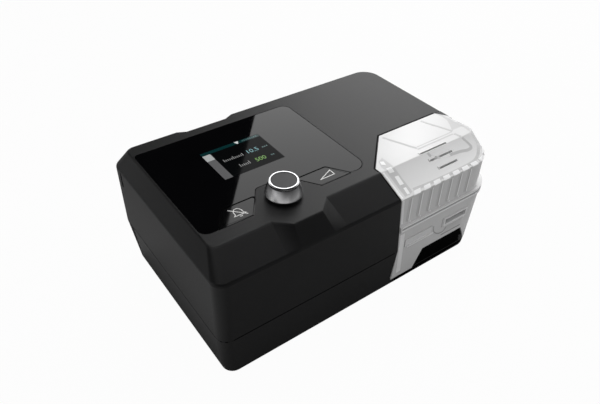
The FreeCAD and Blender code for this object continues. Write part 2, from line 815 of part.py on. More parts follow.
def knob_ring():
    """Bright ring round the top of the knob, with a chamfer on its outer edge."""
    low = case_height + knob_height - 2.0
    top = case_height + knob_height
    points = [V(knob_cap_radius, 0, low), V(knob_ring_radius, 0, low), V(knob_ring_radius, 0, top - 0.9),
              V(knob_ring_radius - 0.8, 0, top), V(knob_cap_radius, 0, top), V(knob_cap_radius, 0, low)]
    return turned(Part.makePolygon(points).Edges, knob_x, knob_y)


def knob_cap():
    return cylinder(knob_x, knob_y, case_height + knob_height - 2.0, knob_cap_radius, 1.6)


# ---------------------------------------------------------------- electronics

def main_board():
    plan = rectangle(main_board_x[0], main_board_y[0], main_board_x[1], main_board_y[1], board_corner)
    board = prism(plan, main_board_height, main_board_top)
    for x, y in main_board_screws:
        board = board.cut(cylinder(x, y, main_board_height - 1, small_screw_radius + screw_hole_gap, 5))
    return board


def heat_sink():
    length = 40.0
    fin = 1.2
    fin_count = 9
    x0 = main_board_x[1] - 15 - length
    y0 = main_board_y[0] + 18
    y1 = y0 + 36
    sink = box(x0, y0, main_board_top, x0 + length, y1, main_board_top + 3)
    for i in range(fin_count):
        x = x0 + i * (length - fin) / (fin_count - 1)
        sink = sink.fuse(box(x, y0, main_board_top, x + fin, y1, main_board_top + 18))
    return sink.removeSplitter()


def capacitors():
    """Three tall capacitors in a row, beside the heat sink."""
    pitch = 13.0
    first_x = main_board_x[1] - 97
    y = main_board_y[0] + 24
    return group([cylinder(first_x + i * pitch, y, main_board_top, 5.0, 18) for i in range(3)])


def board_connectors():
    """Plug blocks near the board's edges, and the processor, as place on the board, length and width."""
    board_depth = main_board_y[1] - main_board_y[0]
    blocks = [(17, 8, 22, 7), (47, 6, 16, 6), (47, board_depth - 14, 26, 7), (97, board_depth - 16, 18, 7),
              (27, 42, 14, 14)]
    x0, y0 = main_board_x[0], main_board_y[0]
    return group([box(x0 + x, y0 + y, main_board_top, x0 + x + dx, y0 + y + dy, main_board_top + 6)
                  for x, y, dx, dy in blocks])


def speaker():
    """Alarm speaker: a can with a ring of sound holes, on the main board."""
    x = main_board_x[0] + 17
    y = main_board_y[1] - 16
    height = 8.0
    can = cylinder(x, y, main_board_top, 9.0, height)
    hole_floor = main_board_top + height - 1.5
    for i in range(6):
        angle = math.radians(60 * i)
        can = can.cut(cylinder(x + 5 * math.cos(angle), y + 5 * math.sin(angle), hole_floor, 1.0, 3))
    return can


def io_board():
    """Upright board behind the two sockets."""
    return box(service_x - 9, case_depth - wall - socket_depth - board_thickness, socket_z - 12,
               socket_x + 12, case_depth - wall - socket_depth, socket_z + 12)


def power_socket():
    """Round socket for the power lead, with its centre pin."""
    y0 = case_depth - wall - socket_depth
    block = box(socket_x - 7, y0, socket_z - 7, socket_x + 7, case_depth - wall, socket_z + 7)
    nose = cylinder(socket_x, case_depth - wall - 0.5, socket_z, socket_radius, wall, ALONG_Y)
    bore = cylinder(socket_x, case_depth - 10, socket_z, 3.2, 12, ALONG_Y)
    pin = cylinder(socket_x, case_depth - 10.5, socket_z, 1.1, 8.5, ALONG_Y)
    return block.fuse(nose).cut(bore).fuse(pin)


def service_port():
    """Flat socket for service, with its contact tongue."""
    back = case_depth - wall
    half = service_half
    mouth_y = back - 9

    def bar(half_x, y0, y1, half_z):
        return box(service_x - half_x, y0, socket_z - half_z, service_x + half_x, y1, socket_z + half_z)

    block = bar(half + 2.5, back - socket_depth, back, 5.0)
    mouth = bar(half, mouth_y, back + wall, 2.5)
    tongue = bar(half - 1.1, mouth_y, back - 1, 0.5)
    return block.cut(mouth).fuse(tongue)


def card_reader():
    """Holder of the memory card, against the left wall."""
    block = box(wall, card_y - 4, card_z - 9, wall + 20, card_y + 4, card_z + 9)
    half_y = card_thickness / 2 + 0.1
    half_z = card_width / 2 + 0.2
    end = card_recess + card_length + 2
    return block.cut(box(wall - 1, card_y - half_y, card_z - half_z, end, card_y + half_y, card_z + half_z))


def memory_card():
    """Card with one cut corner, a little below the wall's face."""
    end = card_recess + card_length
    top = card_z + card_width / 2
    half = card_thickness / 2
    card = box(card_recess, card_y - half, top - card_width, end, card_y + half, top)
    corner = [(end, top), (end - 2, top), (end, top - 2)]
    return card.cut(front_prism(corner, card_y - 3, card_y + 3))


# ---------------------------------------------------------------- blower

def blower_nozzle(z0, z1, inset):
    """The square outlet of the blower, towards the dock."""
    return box(port_in_x - nozzle_half + inset, riser_y1, z0, port_in_x + nozzle_half - inset, blower_y, z1)


def blower_lower():
    body = cylinder(blower_x, blower_y, blower_base_z, volute_radius, blower_split_z - blower_base_z)
    body = body.fuse(blower_nozzle(blower_base_z, blower_split_z, 0))
    cavity = cylinder(blower_x, blower_y, blower_base_z + 6, volute_radius - volute_wall, blower_split_z)
    mouth = blower_nozzle(blower_base_z + volute_wall, blower_split_z + 1, volute_wall)
    body = body.cut(cavity).cut(mouth.translated(V(0, -1, 0)))
    return body.cut(cylinder(blower_x, blower_y, blower_base_z - 1, rotor_shaft_radius + 3.5, 20))


def blower_upper():
    body = cylinder(blower_x, blower_y, blower_split_z, volute_radius, blower_top_z - blower_split_z)
    body = body.fuse(blower_nozzle(blower_split_z, blower_top_z, 0))
    cavity = cylinder(blower_x, blower_y, blower_split_z - 1, volute_radius - volute_wall,
                      blower_top_z - volute_wall - blower_split_z + 1)
    mouth = blower_nozzle(blower_split_z - 1, blower_top_z - volute_wall, volute_wall)
    body = body.cut(cavity).cut(mouth.translated(V(0, -1, 0)))
    return body.cut(cylinder(blower_x, blower_y, blower_split_z, eye_radius, blower_top_z))


def impeller():
    """Open impeller: a disc with swept blades round a hub."""
    hub_z = blower_base_z + 8
    disc = cylinder(blower_x, blower_y, hub_z, impeller_radius, 1.6)
    hub = cylinder(blower_x, blower_y, hub_z, 6.0, 11)
    wheel = disc.fuse(hub)
    blade_count = 11
    for i in range(blade_count):
        blade = box(7.0, -0.6, hub_z, impeller_radius - 0.5, 0.6, hub_z + 9)
        blade.rotate(V(7.0, 0, 0), V(0, 0, 1), -32)
        blade.translate(V(-1.5, 2.0, 0))
        blade.rotate(V(0, 0, 0), V(0, 0, 1), 360.0 * i / blade_count)
        blade.translate(V(blower_x, blower_y, 0))
        wheel = wheel.fuse(blade.common(cylinder(blower_x, blower_y, hub_z, impeller_radius, 12)))
    return wheel.cut(cylinder(blower_x, blower_y, hub_z - 1, rotor_shaft_radius, 20))


def motor_can():
    """Motor housing that hangs under the blower, with a seat for each bearing."""
    low = blower_base_z - motor_height
    can = cylinder(blower_x, blower_y, low, motor_radius, motor_height)
    can = can.cut(cylinder(blower_x, blower_y, low + 4.5, motor_radius - 1.6, 9.0))
    can = can.cut(cylinder(blower_x, blower_y, low + 1.0, bearing_radius, 3.5))
    can = can.cut(cylinder(blower_x, blower_y, low + 1.0, rotor_shaft_radius + 1.0, 20))
    return can.cut(cylinder(blower_x, blower_y, low + 13.0, bearing_radius, 2.5))


def motor_bearings():
    low = blower_base_z - motor_height
    bore = rotor_shaft_radius + 0.03
    return group([ring(blower_x, blower_y, low + 1.0, bearing_radius, bore, 3.0),
                  ring(blower_x, blower_y, low + 13.0, bearing_radius, bore, 2.5)])


def motor_stator():
    low = blower_base_z - 10.6
    body = ring(blower_x, blower_y, low, motor_radius - 1.6, 8.0, 7.0)
    for i in range(6):
        slot = box(9.5, -1.2, low - 1, 14.5, 1.2, low + 9)
        slot.rotate(V(0, 0, 0), V(0, 0, 1), 60.0 * i)
        slot.translate(V(blower_x, blower_y, 0))
        body = body.cut(slot)
    return body


def motor_magnet():
    return ring(blower_x, blower_y, blower_base_z - 10.6, 7.2, rotor_shaft_radius, 7.0)


def motor_shaft():
    return cylinder(blower_x, blower_y, blower_base_z - 14.3, rotor_shaft_radius, 14.3 + 19.5)


def blower_mounts():
    """Rubber pillars between the tray floor and the blower."""
    pillars = []
    for x, y in blower_mounts_at:
        pillar = cylinder(x, y, tray_floor, 5.0, 8).fuse(cylinder(x, y, tray_floor, 3.5, 15))
        pillars.append(pillar.fuse(cylinder(x, y, tray_floor + 13, 5.0, blower_base_z - tray_floor - 13)))
    return group(pillars)


# ---------------------------------------------------------------- air path

def inlet_silencer():
    """Box that the air passes on its way in, open to the filter and to the inlet duct."""
    x0, x1 = silencer_x
    y0, y1 = silencer_y
    t = silencer_wall
    shell = box(x0, y0, tray_floor, x1, y1, inlet_duct_z1 + 2)
    shell = shell.cut(box(x0 + t, y0 + t, tray_floor + t, x1 - t, y1 - t, inlet_duct_z1 + 2 - t))
    shell = shell.cut(box(x0 + 4, y1 - 5, filter_z0 + 5, filter_x1 - 6, y1 + 2, filter_z1 - 5))
    return shell.cut(box(x1 - 5, duct_y0 + 2, inlet_duct_z0 + 2, x1 + 5, duct_y1 - 2, inlet_duct_z1 - 2))


def silencer_foam():
    """Foam lining of the silencer, with a hollow for the air."""
    x0, x1 = silencer_x
    y0, y1 = silencer_y
    t = silencer_wall
    block = box(x0 + t, y0 + t, tray_floor + t, x1 - t, y1 - t, inlet_duct_z0 - 4)
    return block.cut(box(x0 + 12, y0 + 14, tray_floor + 8, x1 - 12, y1, inlet_duct_z0))


def inlet_duct():
    """Flat duct from the silencer over the blower, with a spigot into the blower's eye."""
    t = 1.6
    x0 = silencer_x[1]
    x1 = blower_x + 16
    outer = box(x0, duct_y0, inlet_duct_z0, x1, duct_y1, inlet_duct_z1)
    rise = inlet_duct_z0 - blower_top_z
    outer = outer.fuse(cylinder(blower_x, blower_y, blower_top_z, eye_radius + t, rise + 1))
    inner = box(x0 - 1, duct_y0 + t, inlet_duct_z0 + t, x1 - t, duct_y1 - t, inlet_duct_z1 - t)
    reach = min(eye_radius, (duct_y1 - duct_y0) / 2 - t)
    inner = inner.fuse(cylinder(blower_x, blower_y, blower_top_z - 1, reach, rise + 4))
    return outer.cut(inner)


def blower_duct():
    """Riser from the blower's outlet to the dock port."""
    t = duct_wall
    x0 = port_in_x - nozzle_half
    x1 = port_in_x + nozzle_half
    low = blower_base_z
    high = port_z + 11
    outer = box(x0, riser_y0, low, x1, riser_y1, high)
    spigot = riser_y0 - bay_back
    outer = outer.fuse(cylinder(port_in_x, bay_back + seal_seat, port_z, port_radius + t, spigot, ALONG_Y))
    inner = box(x0 + t, riser_y0 + t, low + t, x1 - t, riser_y1 - t, high - t)
    inner = inner.fuse(cylinder(port_in_x, bay_back, port_z, port_radius, spigot + 4, ALONG_Y))
    inner = inner.fuse(box(x0 + 2, riser_y1 - 3, low + 2, x1 - 2, riser_y1 + 2, blower_top_z - 2))
    return outer.cut(inner)


def return_duct():
    """Tube from the dock to the outlet, stepping sideways between two straight runs."""
    start = bay_back + seal_seat
    end = case_depth - wall - outlet_flange_thickness
    turn0, turn1 = return_turn

    def core(radius, slack):
        front = cylinder(port_out_x, start - slack, port_z, radius, turn0 - start + slack, ALONG_Y)
        rear = cylinder(outlet_x, turn1, port_z, radius, end - turn1 + slack, ALONG_Y)
        rims = [Part.Wire(Part.Circle(V(x, y, port_z), ALONG_Y, radius).toShape())
                for x, y in ((port_out_x, turn0), (outlet_x, turn1))]
        return front.fuse(Part.makeLoft(rims, True, True)).fuse(rear)

    return core(port_radius + duct_wall, 0).cut(core(port_radius, 1))


def flow_sensor():
    """Sensor block that sits astride the return duct."""
    y0 = return_turn[0] - 20
    y1 = return_turn[0] - 5
    block = box(port_out_x - 6, y0, port_z + 4, port_out_x + 6, y1, port_z + 17)
    saddle = port_radius + duct_wall + duct_slip
    return block.cut(cylinder(port_out_x, y0 - 1, port_z, saddle, y1 - y0 + 2, ALONG_Y))


def outlet_port():
    """Male connector for a 22 mm hose, with a flange inside the back wall."""
    y0 = case_depth - wall - outlet_flange_thickness
    length = outlet_flange_thickness + wall + outlet_length
    flange = cylinder(outlet_x, y0, port_z, outlet_flange, outlet_flange_thickness, ALONG_Y)
    root = cylinder(outlet_x, y0, port_z, outlet_radius + outlet_root, length - outlet_length, ALONG_Y)
    tube = cylinder(outlet_x, y0, port_z, outlet_radius, length, ALONG_Y)
    bore = cylinder(outlet_x, y0 - 1, port_z, outlet_radius - 1.6, length + 2, ALONG_Y)
    return flange.fuse(root).fuse(tube).cut(bore)


def dock_seals():
    length = seal_seat + seal_proud
    return group([ring(x, bay_back - seal_proud, port_z, seal_radius - 0.2, port_radius, length, ALONG_Y)
                  for x in (port_in_x, port_out_x)])


# ---------------------------------------------------------------- air filter

def filter_region(grow):
    return box(-5, filter_y0 - grow, filter_z0 - grow, filter_x1 + grow, case_depth + 9, filter_z1 + grow)


def filter_frame(grow, y0):
    """The square sleeve behind the louvres that holds the filters."""
    return box(9.0 + grow, y0, filter_z0 + 1 + grow, filter_x1 - 2 - grow, case_depth, filter_z1 - 1 - grow)


def filter_cover():
    skin = 2.0
    cover = lower_form(0, 0).cut(lower_form(skin, -1)).common(filter_region(0))
    frame = filter_frame(0, filter_frame_y0).cut(filter_frame(filter_frame_wall, filter_frame_y0 - 1))
    cover = cover.fuse(frame.common(lower_form(skin / 2, 0)))
    grooved = lower_form(-0.5, -1).cut(lower_form(louvre_depth, -1))
    count = int((filter_z1 - filter_z0 - 5) / louvre_pitch) + 1
    for i in range(count):
        z = filter_z0 + 3 + i * louvre_pitch
        cover = cover.cut(grooved.common(box(-9, 0, z, filter_x1 + 9, case_depth + 9, z + louvre_slot)))
        cover = cover.cut(box(12, filter_y0 + 8.5, z, filter_x1 - 4, case_depth + 9, z + louvre_slot))
        cover = cover.cut(box(-5, filter_y0 + 3, z, 4.5, case_depth - 16, z + louvre_slot))
    return cover


def filter_layer(y0, y1):
    """A block that fills the frame between two depths."""
    return filter_frame(filter_frame_wall, y0).common(box(0, 0, 0, filter_x1, y1, filter_z1))


def filter_pad():
    return filter_layer(filter_pad_y[0], filter_pad_y[1])


def filter_foam():
    return filter_layer(filter_pad_y[1], filter_pad_y[1] + filter_foam_thickness)


# ---------------------------------------------------------------- heater

def heater_plate():
    plan = rectangle(heater_x0, heater_y0, heater_x1, heater_y1, 0.5)
    plate = prism(plan, heater_lip_top - 0.5, heater_top)
    lip = box(heater_x0 - heater_lip, heater_y0 - heater_lip, heater_lip_top - heater_lip_thickness,
              heater_x1 + heater_lip, heater_y1 + heater_lip, heater_lip_top)
    return plate.fuse(lip)


def heater_springs():
    """Four coil springs that press the heater against the tub."""
    wire = 0.45
    low = tray_floor + wire
    high = heater_lip_top - heater_lip_thickness - wire
    coils = []
    for x, y in heater_springs_at:
        helix = Part.makeHelix((high - low) / 5.0, high - low, 3.0)
        circle = Part.Wire(Part.Circle(V(3.0, 0, 0), ALONG_Y, wire).toShape())
        coil = Part.Wire(helix).makePipeShell([circle], True, True)
        coil.translate(V(x, y, low))
        coils.append(coil)
    return group(coils)


# ---------------------------------------------------------------- humidifier tub

def front_slot(grow):
    """The finger slot in the tub's front."""
    return box(slot_x0 - grow, -5, slot_z0 - grow, slot_x1 + grow, slot_depth + grow, slot_z1 + grow)


def release_pocket_form(grow):
    """The pocket in the tub's front that the release key sits in."""
    return box(release_x0 - grow, -5, release_z0 - grow,
               release_x1 + grow, release_pocket + grow, release_z1 + grow)


def rim(z0, z1):
    plan = humidifier_ring(case_length + rim_proud, -rim_proud_front, rim_corner)
    return prism(plan, z0, z1).common(bay_form(bay_clearance))


def hinge_line(radius):
    """A bar on the hinge's axis that runs past both its ends."""
    return cylinder(hinge_x, hinge_y0 - 1, hinge_z, radius, hinge_y1 - hinge_y0 + 2, ALONG_Y)


def hinge_barrel(y0, y1, z0, z1):
    """A knuckle on the hinge line, with the arm that joins it to its rim."""
    barrel = cylinder(hinge_x, y0, hinge_z, hinge_radius, y1 - y0, ALONG_Y)
    return barrel.fuse(box(case_length - 1, y0, z0, hinge_x, y1, z1))


def water_tub():
    shell = tub_form(0).fuse(rim(rim_bottom, tub_top))
    frame = box(slot_x0 - 3.0, -0.9, slot_z0 - 2.5, slot_x1 + 5.0, 1.0, slot_z1 + 2.0)
    shell = shell.fuse(frame)
    hollow = tub_form(tub_wall, 5).cut(front_slot(tub_wall)).cut(release_pocket_form(tub_wall))
    shell = shell.cut(hollow).cut(front_slot(0)).cut(release_pocket_form(0))
    # pan opening over the heater
    shell = shell.cut(prism(pan_corners(0), rail_height, base_plate_z + 6))
    knuckle = (hinge_y1 - hinge_y0) / 3.5
    for y0, y1 in ((hinge_y0, hinge_y0 + knuckle), (hinge_y1 - knuckle, hinge_y1)):
        shell = shell.fuse(hinge_barrel(y0, y1, rim_bottom, tub_top).cut(hollow))
    return shell.cut(hinge_line(hinge_pin_radius))


def pan_corners(grow):
    """Plan of the metal pan, a little larger than the heater under it."""
    margin = 1.0 + grow
    return rectangle(heater_x0 - margin, heater_y0 - margin, heater_x1 + margin, heater_y1 + margin, 4.0)


def tub_pan():
    """Metal pan in the tub's bottom that carries the heat into the water."""
    floor_top = rail_height + bay_clearance + tub_wall
    pan = prism(pan_corners(0), base_plate_z, floor_top + 0.2)
    return pan.fuse(prism(pan_corners(1.5), floor_top, floor_top + 1.2))


def release_key():
    y0 = -release_proud
    gap = 0.5
    plate = box(release_x0 + gap, y0, release_z0 + gap,
                release_x1 - gap, y0 + release_plate, release_z1 - gap)
    lip = box(release_x0 + 4, y0 - 0.8, release_z0 + gap, release_x1 - 4, y0 + 0.5, release_z0 + 2.3)
    stem_length = release_pocket - y0 - 1 - release_travel - 0.3
    stem = cylinder(release_mid_x, y0 + 1, release_mid_z, 1.2, stem_length, ALONG_Y)
    return plate.fuse(lip).fuse(stem)


def release_spring():
    wire = 0.35
    turns = 3
    y0 = release_plate - release_proud + wire + 0.02
    y1 = release_pocket - wire - 0.02
    helix = Part.makeHelix((y1 - y0) / turns, y1 - y0, 2.0)
    circle = Part.Wire(Part.Circle(V(2.0, 0, 0), ALONG_Y, wire).toShape())
    coil = Part.Wire(helix).makePipeShell([circle], True, True)
    coil.rotate(V(0, 0, 0), V(1, 0, 0), -90)
    coil.translate(V(release_mid_x, y0, release_mid_z))
    return coil


# ---------------------------------------------------------------- humidifier lid

def corner_column(grow):
    """The upright wedge at the lid's rear right corner."""
    near = corner_cut_x - grow
    far = case_length + 20
    back = bay_back - bay_clearance
    slope = (back - corner_cut_y) / (case_length - corner_cut_x)
    plan = [(near, bay_back + 5, 0), (near, back - grow, 0), (far, back - grow - slope * (far - near), 0),
            (far, bay_back + 5, 0)]
    return prism(plan, rim_top + 0.5 - grow, case_height + 5)


def is_outer_edge(edge):
    """Whether an edge of the lid's top faces the front or the right, not the bay's walls."""
    middle = edge.CenterOfMass
    return middle.y < top_inset_front + 0.1 or middle.x > case_length - lid_top_corner - lid_inset_right


def lid_corner_piece():
    return corner_column(0).common(upper_form(0)).common(bay_form(bay_clearance))


def tub_lid():
    form = lid_form(0)
    top_edges = [e for e in form.Edges if e.BoundBox.ZMin > case_height - 0.01 and is_outer_edge(e)]
    shell = form.makeFillet(lid_edge_radius, top_edges).fuse(rim(rim_split, rim_top))
    hollow = lid_form(lid_wall, 5)
    shell = shell.cut(hollow).cut(corner_column(0.0).common(upper_form(-20)))
    closing = corner_column(lid_wall).common(lid_form(0)).cut(corner_column(0))
    shell = shell.fuse(closing)
    for x in (port_in_x, port_out_x):
        shell = shell.cut(cylinder(x, bay_back - 8, port_z, port_radius, 20, ALONG_Y))
    for x0, x1, y in lid_groove_places:
        floor = min(slope_z(y), case_height) - lid_groove_depth
        shell = shell.cut(upright_slot(x0, x1, y, lid_groove_half, floor, case_height + 5))
    for i in range(rib_count):
        x = rib_first_x + i * rib_pitch
        shell = shell.cut(box(x - rib_width / 2, -5, rim_top + 2,
                              x + rib_width / 2, rib_depth, shoulder_height - 2.5))
    knuckle = (hinge_y1 - hinge_y0) / 3.5 + hinge_side_gap
    barrel = hinge_barrel(hinge_y0 + knuckle, hinge_y1 - knuckle, rim_split, rim_top - 0.5)
    return shell.fuse(barrel.cut(hollow)).cut(hinge_line(hinge_pin_radius + hinge_clearance))


def lid_duct():
    """The air channel under the lid, from the dock port to the front."""
    def plan(t):
        back = bay_back - bay_clearance - lid_wall - 0.4 - t
        x = port_in_x
        return [(x - 20.5 + t, back, 0), (x - 6.0 + t, 38.0, 0), (x - 2.5 + t, 26.0, 0),
                (x + 0.5 + t, 17.0 + t, 0), (x + 36.0 - t, 13.0 + t, 0), (x + 40.0 - t, 39.0, 0),
                (x + 27.0 - t, back, 0)]
    t = 1.5
    low = port_z - port_radius - 3
    walls = prism(plan(0), low, case_height).cut(prism(plan(t), low + t, case_height + 1))
    vent = prism(rectangle(port_in_x + 4, 20, port_in_x + 32, 34, 2), low - 1, low + t + 1)
    walls = walls.cut(vent).cut(cylinder(port_in_x, bay_back - 20, port_z, port_radius, 30, ALONG_Y))
    return walls.common(lid_form(lid_wall))


def lid_seal():
    """Flat rubber ring between the tub and the lid."""
    z0 = tub_top + 0.06
    outer = prism(humidifier_ring(case_length - 0.3, 0.3, lid_corner), z0, rim_split)
    inner = prism(humidifier_ring(case_length - 1.9, 1.9, lid_corner - 1.6), z0 - 1, rim_split + 1)
    return outer.common(bay_form(bay_clearance + 0.2)).cut(inner.common(bay_form(bay_clearance + 1.8)))


def lid_hinge_pin():
    return cylinder(hinge_x, hinge_y0, hinge_z, hinge_pin_radius, hinge_y1 - hinge_y0, ALONG_Y)


# ---------------------------------------------------------------- build

nodes = {
    "top_cover": top_cover(),
    "base_tray": base_tray(),
    "rubber_feet": rubber_feet(),
    "case_screws": case_screw_set(),
    "display_glass": display_glass(),
    "display_module": display_module(),
    "display_bracket": display_bracket(),
    "mute_button": key(-1),
    "start_button": key(1),
    "key_switches": key_switches(),
    "ui_board": ui_board(),
    "board_screws": board_screw_set(),
    "encoder_body": encoder_body(),
    "encoder_nut": encoder_nut(),
    "encoder_plunger": encoder_plunger(),
    "encoder_shaft": encoder_shaft(),
    "knob_body": knob_body(),
    "knob_ring": knob_ring(),
    "knob_cap": knob_cap(),
    "main_board": main_board(),
    "heat_sink": heat_sink(),
    "capacitors": capacitors(),
    "board_connectors": board_connectors(),
    "speaker": speaker(),
    "io_board": io_board(),
    "power_socket": power_socket(),
    "service_port": service_port(),
    "card_reader": card_reader(),
    "memory_card": memory_card(),
    "blower_lower": blower_lower(),
    "blower_upper": blower_upper(),
    "impeller": impeller(),
    "motor_can": motor_can(),
    "motor_bearings": motor_bearings(),
    "motor_stator": motor_stator(),
    "motor_magnet": motor_magnet(),
    "motor_shaft": motor_shaft(),
    "blower_mounts": blower_mounts(),
    "inlet_silencer": inlet_silencer(),
    "silencer_foam": silencer_foam(),
    "inlet_duct": inlet_duct(),
    "blower_duct": blower_duct(),
    "return_duct": return_duct(),
    "flow_sensor": flow_sensor(),
    "outlet_port": outlet_port(),
    "dock_seals": dock_seals(),
    "filter_cover": filter_cover(),
    "filter_pad": filter_pad(),
    "filter_foam": filter_foam(),
    "heater_plate": heater_plate(),
    "heater_springs": heater_springs(),
    "water_tub": water_tub(),
    "tub_pan": tub_pan(),
    "release_key": release_key(),
    "release_spring": release_spring(),
    "tub_lid": tub_lid(),
    "lid_corner": lid_corner_piece(),
    "lid_duct": lid_duct(),
    "lid_seal": lid_seal(),
    "lid_hinge_pin": lid_hinge_pin(),
}

# middle of the bounding box: left wall to hinge barrel, front rim to hose connector
origin_x = (hinge_x + hinge_radius) / 2
origin_y = (case_depth + outlet_length - rim_proud_front) / 2
to_origin = V(-origin_x, -origin_y, foot_stand)

os.makedirs("parts", exist_ok=True)
for name, shape in nodes.items():
    shape.translated(to_origin).exportStep("parts/" + name + ".step")
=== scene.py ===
import json
import math

import bmesh
import bpy
from mathutils import Euler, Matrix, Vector
from mathutils.bvhtree import BVHTree

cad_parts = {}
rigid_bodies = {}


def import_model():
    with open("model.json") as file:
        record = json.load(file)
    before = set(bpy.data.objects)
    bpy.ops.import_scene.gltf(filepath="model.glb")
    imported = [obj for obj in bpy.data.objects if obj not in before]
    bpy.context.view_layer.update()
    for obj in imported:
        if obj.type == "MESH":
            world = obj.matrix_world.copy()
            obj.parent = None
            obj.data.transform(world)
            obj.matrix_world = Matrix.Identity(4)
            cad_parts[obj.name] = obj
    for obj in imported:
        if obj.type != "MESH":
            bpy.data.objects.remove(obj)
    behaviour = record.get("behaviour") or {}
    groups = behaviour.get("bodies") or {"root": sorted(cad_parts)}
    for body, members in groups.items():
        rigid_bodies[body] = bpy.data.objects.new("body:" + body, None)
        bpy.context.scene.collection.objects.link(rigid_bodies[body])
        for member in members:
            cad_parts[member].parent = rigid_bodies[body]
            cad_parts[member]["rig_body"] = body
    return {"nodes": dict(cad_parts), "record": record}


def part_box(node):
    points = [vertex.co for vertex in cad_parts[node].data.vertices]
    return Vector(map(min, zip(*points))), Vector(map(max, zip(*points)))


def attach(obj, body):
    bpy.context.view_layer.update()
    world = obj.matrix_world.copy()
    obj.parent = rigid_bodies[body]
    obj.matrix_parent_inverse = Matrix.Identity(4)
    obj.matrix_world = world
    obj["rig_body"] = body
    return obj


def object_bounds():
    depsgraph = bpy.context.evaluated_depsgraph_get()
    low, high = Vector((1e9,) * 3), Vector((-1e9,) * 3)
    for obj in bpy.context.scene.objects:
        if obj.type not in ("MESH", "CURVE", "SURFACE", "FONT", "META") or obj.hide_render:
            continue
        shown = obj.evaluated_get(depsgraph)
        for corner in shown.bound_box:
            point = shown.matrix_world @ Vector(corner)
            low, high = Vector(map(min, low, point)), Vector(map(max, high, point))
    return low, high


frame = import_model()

# A bedside CPAP machine with a slide-in humidifier. Metres, Z up, X along the front from the
# left end, Y from the front to the back. The CAD nodes carry the shapes; this script gives
# them their materials, lays thin detail pieces on their surfaces, and sets the floor, the
# lights and the camera.

CAD_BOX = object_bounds()
NODES = frame["nodes"]
MM = 0.001


# ---------------------------------------------------------------- places on the case

# Places on the case are given in millimetres from its front left foot corner.

CASE_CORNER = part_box("base_tray")[0]
TOP = 116.5                                 # height of the case's top face
OVER = 170                                  # a height above the whole object
AHEAD = -40                                 # a depth in front of the whole object
CASE_MIDDLE = (90, 90)                      # inside the case, seen from all around
LID_MIDDLE = (238, 60)                      # inside the humidifier, the same
LID_RIB = 184.5                             # the first rib on the lid's wall
LID_PITCH = 12.1                            # from one rib to the next


def at(x, y, z=TOP):
    """The place x, y, z millimetres from the case's front left foot corner."""
    return CASE_CORNER + Vector((x, y, z)) * MM


# ---------------------------------------------------------------- objects and shader nodes

def new_object(name, data):
    """An object that is in the scene."""
    made = bpy.data.objects.new(name, data)
    bpy.context.scene.collection.objects.link(made)
    return made


def new_node(tree, kind, inputs=None, **settings):
    """A new node with its settings, and its inputs set or linked."""
    made = tree.nodes.new(kind)
    for key, value in settings.items():
        setattr(made, key, value)
    for key, value in (inputs or {}).items():
        if isinstance(value, bpy.types.NodeSocket):
            tree.links.new(value, made.inputs[key])
        else:
            made.inputs[key].default_value = value
    return made


def calculate(tree, operation, *values):
    """The result of a math node on sockets or numbers."""
    return new_node(tree, "ShaderNodeMath", dict(enumerate(values)), operation=operation).outputs[0]


def ramp(tree, value, low, high, start, end, **settings):
    """A number that goes from start to end as value goes from low to high."""
    return new_node(tree, "ShaderNodeMapRange", {
        "Value": value, "From Min": low, "From Max": high, "To Min": start, "To Max": end,
    }, **settings).outputs["Result"]


def eased(tree, value, low, high, start, end):
    """The same with a soft start and end."""
    return ramp(tree, value, low, high, start, end, interpolation_type="SMOOTHSTEP")


# ---------------------------------------------------------------- recipes for materials

NOISE_SPAN = (0.3, 0.7)                     # where most of a noise's values lie


def shade(colour, factor):
    return tuple(c * factor for c in colour)


class Finish:
    """One procedural material: a principled shader and short calls for what feeds it."""

    def __init__(self, name, **sockets):
        self.material = bpy.data.materials.new(name)
        self.material.use_nodes = True
        self.tree = self.material.node_tree
        self.shader = next(n for n in self.tree.nodes if n.type == "BSDF_PRINCIPLED")
        self.coordinates = self.tree.nodes.new("ShaderNodeTexCoord").outputs["Object"]
        for socket, value in sockets.items():
            self.shader.inputs[socket.replace("_", " ")].default_value = value

    def node(self, kind, inputs=None, **settings):
        return new_node(self.tree, kind, inputs, **settings)

    def feed(self, socket, output):
        self.tree.links.new(output, self.shader.inputs[socket])

    def height(self):
        """Metres above the floor."""
        return self.node("ShaderNodeSeparateXYZ", {"Vector": self.coordinates}).outputs["Z"]

    def noise(self, grain, detail=2.0, squeeze=(1, 1, 1)):
        """Noise with features of about grain millimetres, narrower by squeeze along an axis."""
        where = self.node("ShaderNodeMapping", {"Vector": self.coordinates, "Scale": squeeze})
        return self.node("ShaderNodeTexNoise", {
            "Vector": where.outputs["Vector"], "Scale": 1 / (grain * MM), "Detail": detail,
        }).outputs["Fac"]

    def between(self, factor, low, high):
        """A number from low to high, over the span of a noise."""
        return ramp(self.tree, factor, *NOISE_SPAN, low, high)

    def tint(self, factor, first, second):
        """A colour from first to second, over the span of a noise."""
        blend = self.node("ShaderNodeValToRGB", {"Fac": factor})
        for stop, position, colour in zip(blend.color_ramp.elements, NOISE_SPAN, (first, second)):
            stop.position = position
            stop.color = (*colour, 1)
        return blend.outputs["Color"]

    def mottle(self, factor, colour, share):
        """A base colour that gets darker and lighter by a share of itself."""
        self.feed("Base Color", self.tint(
            factor, shade(colour, 1 - share), shade(colour, 1 + share)))

    def gloss(self, factor, roughness, give):
        """A roughness that wavers by give to either side."""
        self.feed("Roughness", self.between(factor, roughness - give, roughness + give))

    def bump(self, height, depth):
        """Surface relief, depth millimetres deep."""
        relief = self.node("ShaderNodeBump", {
            "Height": height, "Distance": depth * MM, "Strength": 1.0})
        self.feed("Normal", relief.outputs["Normal"])


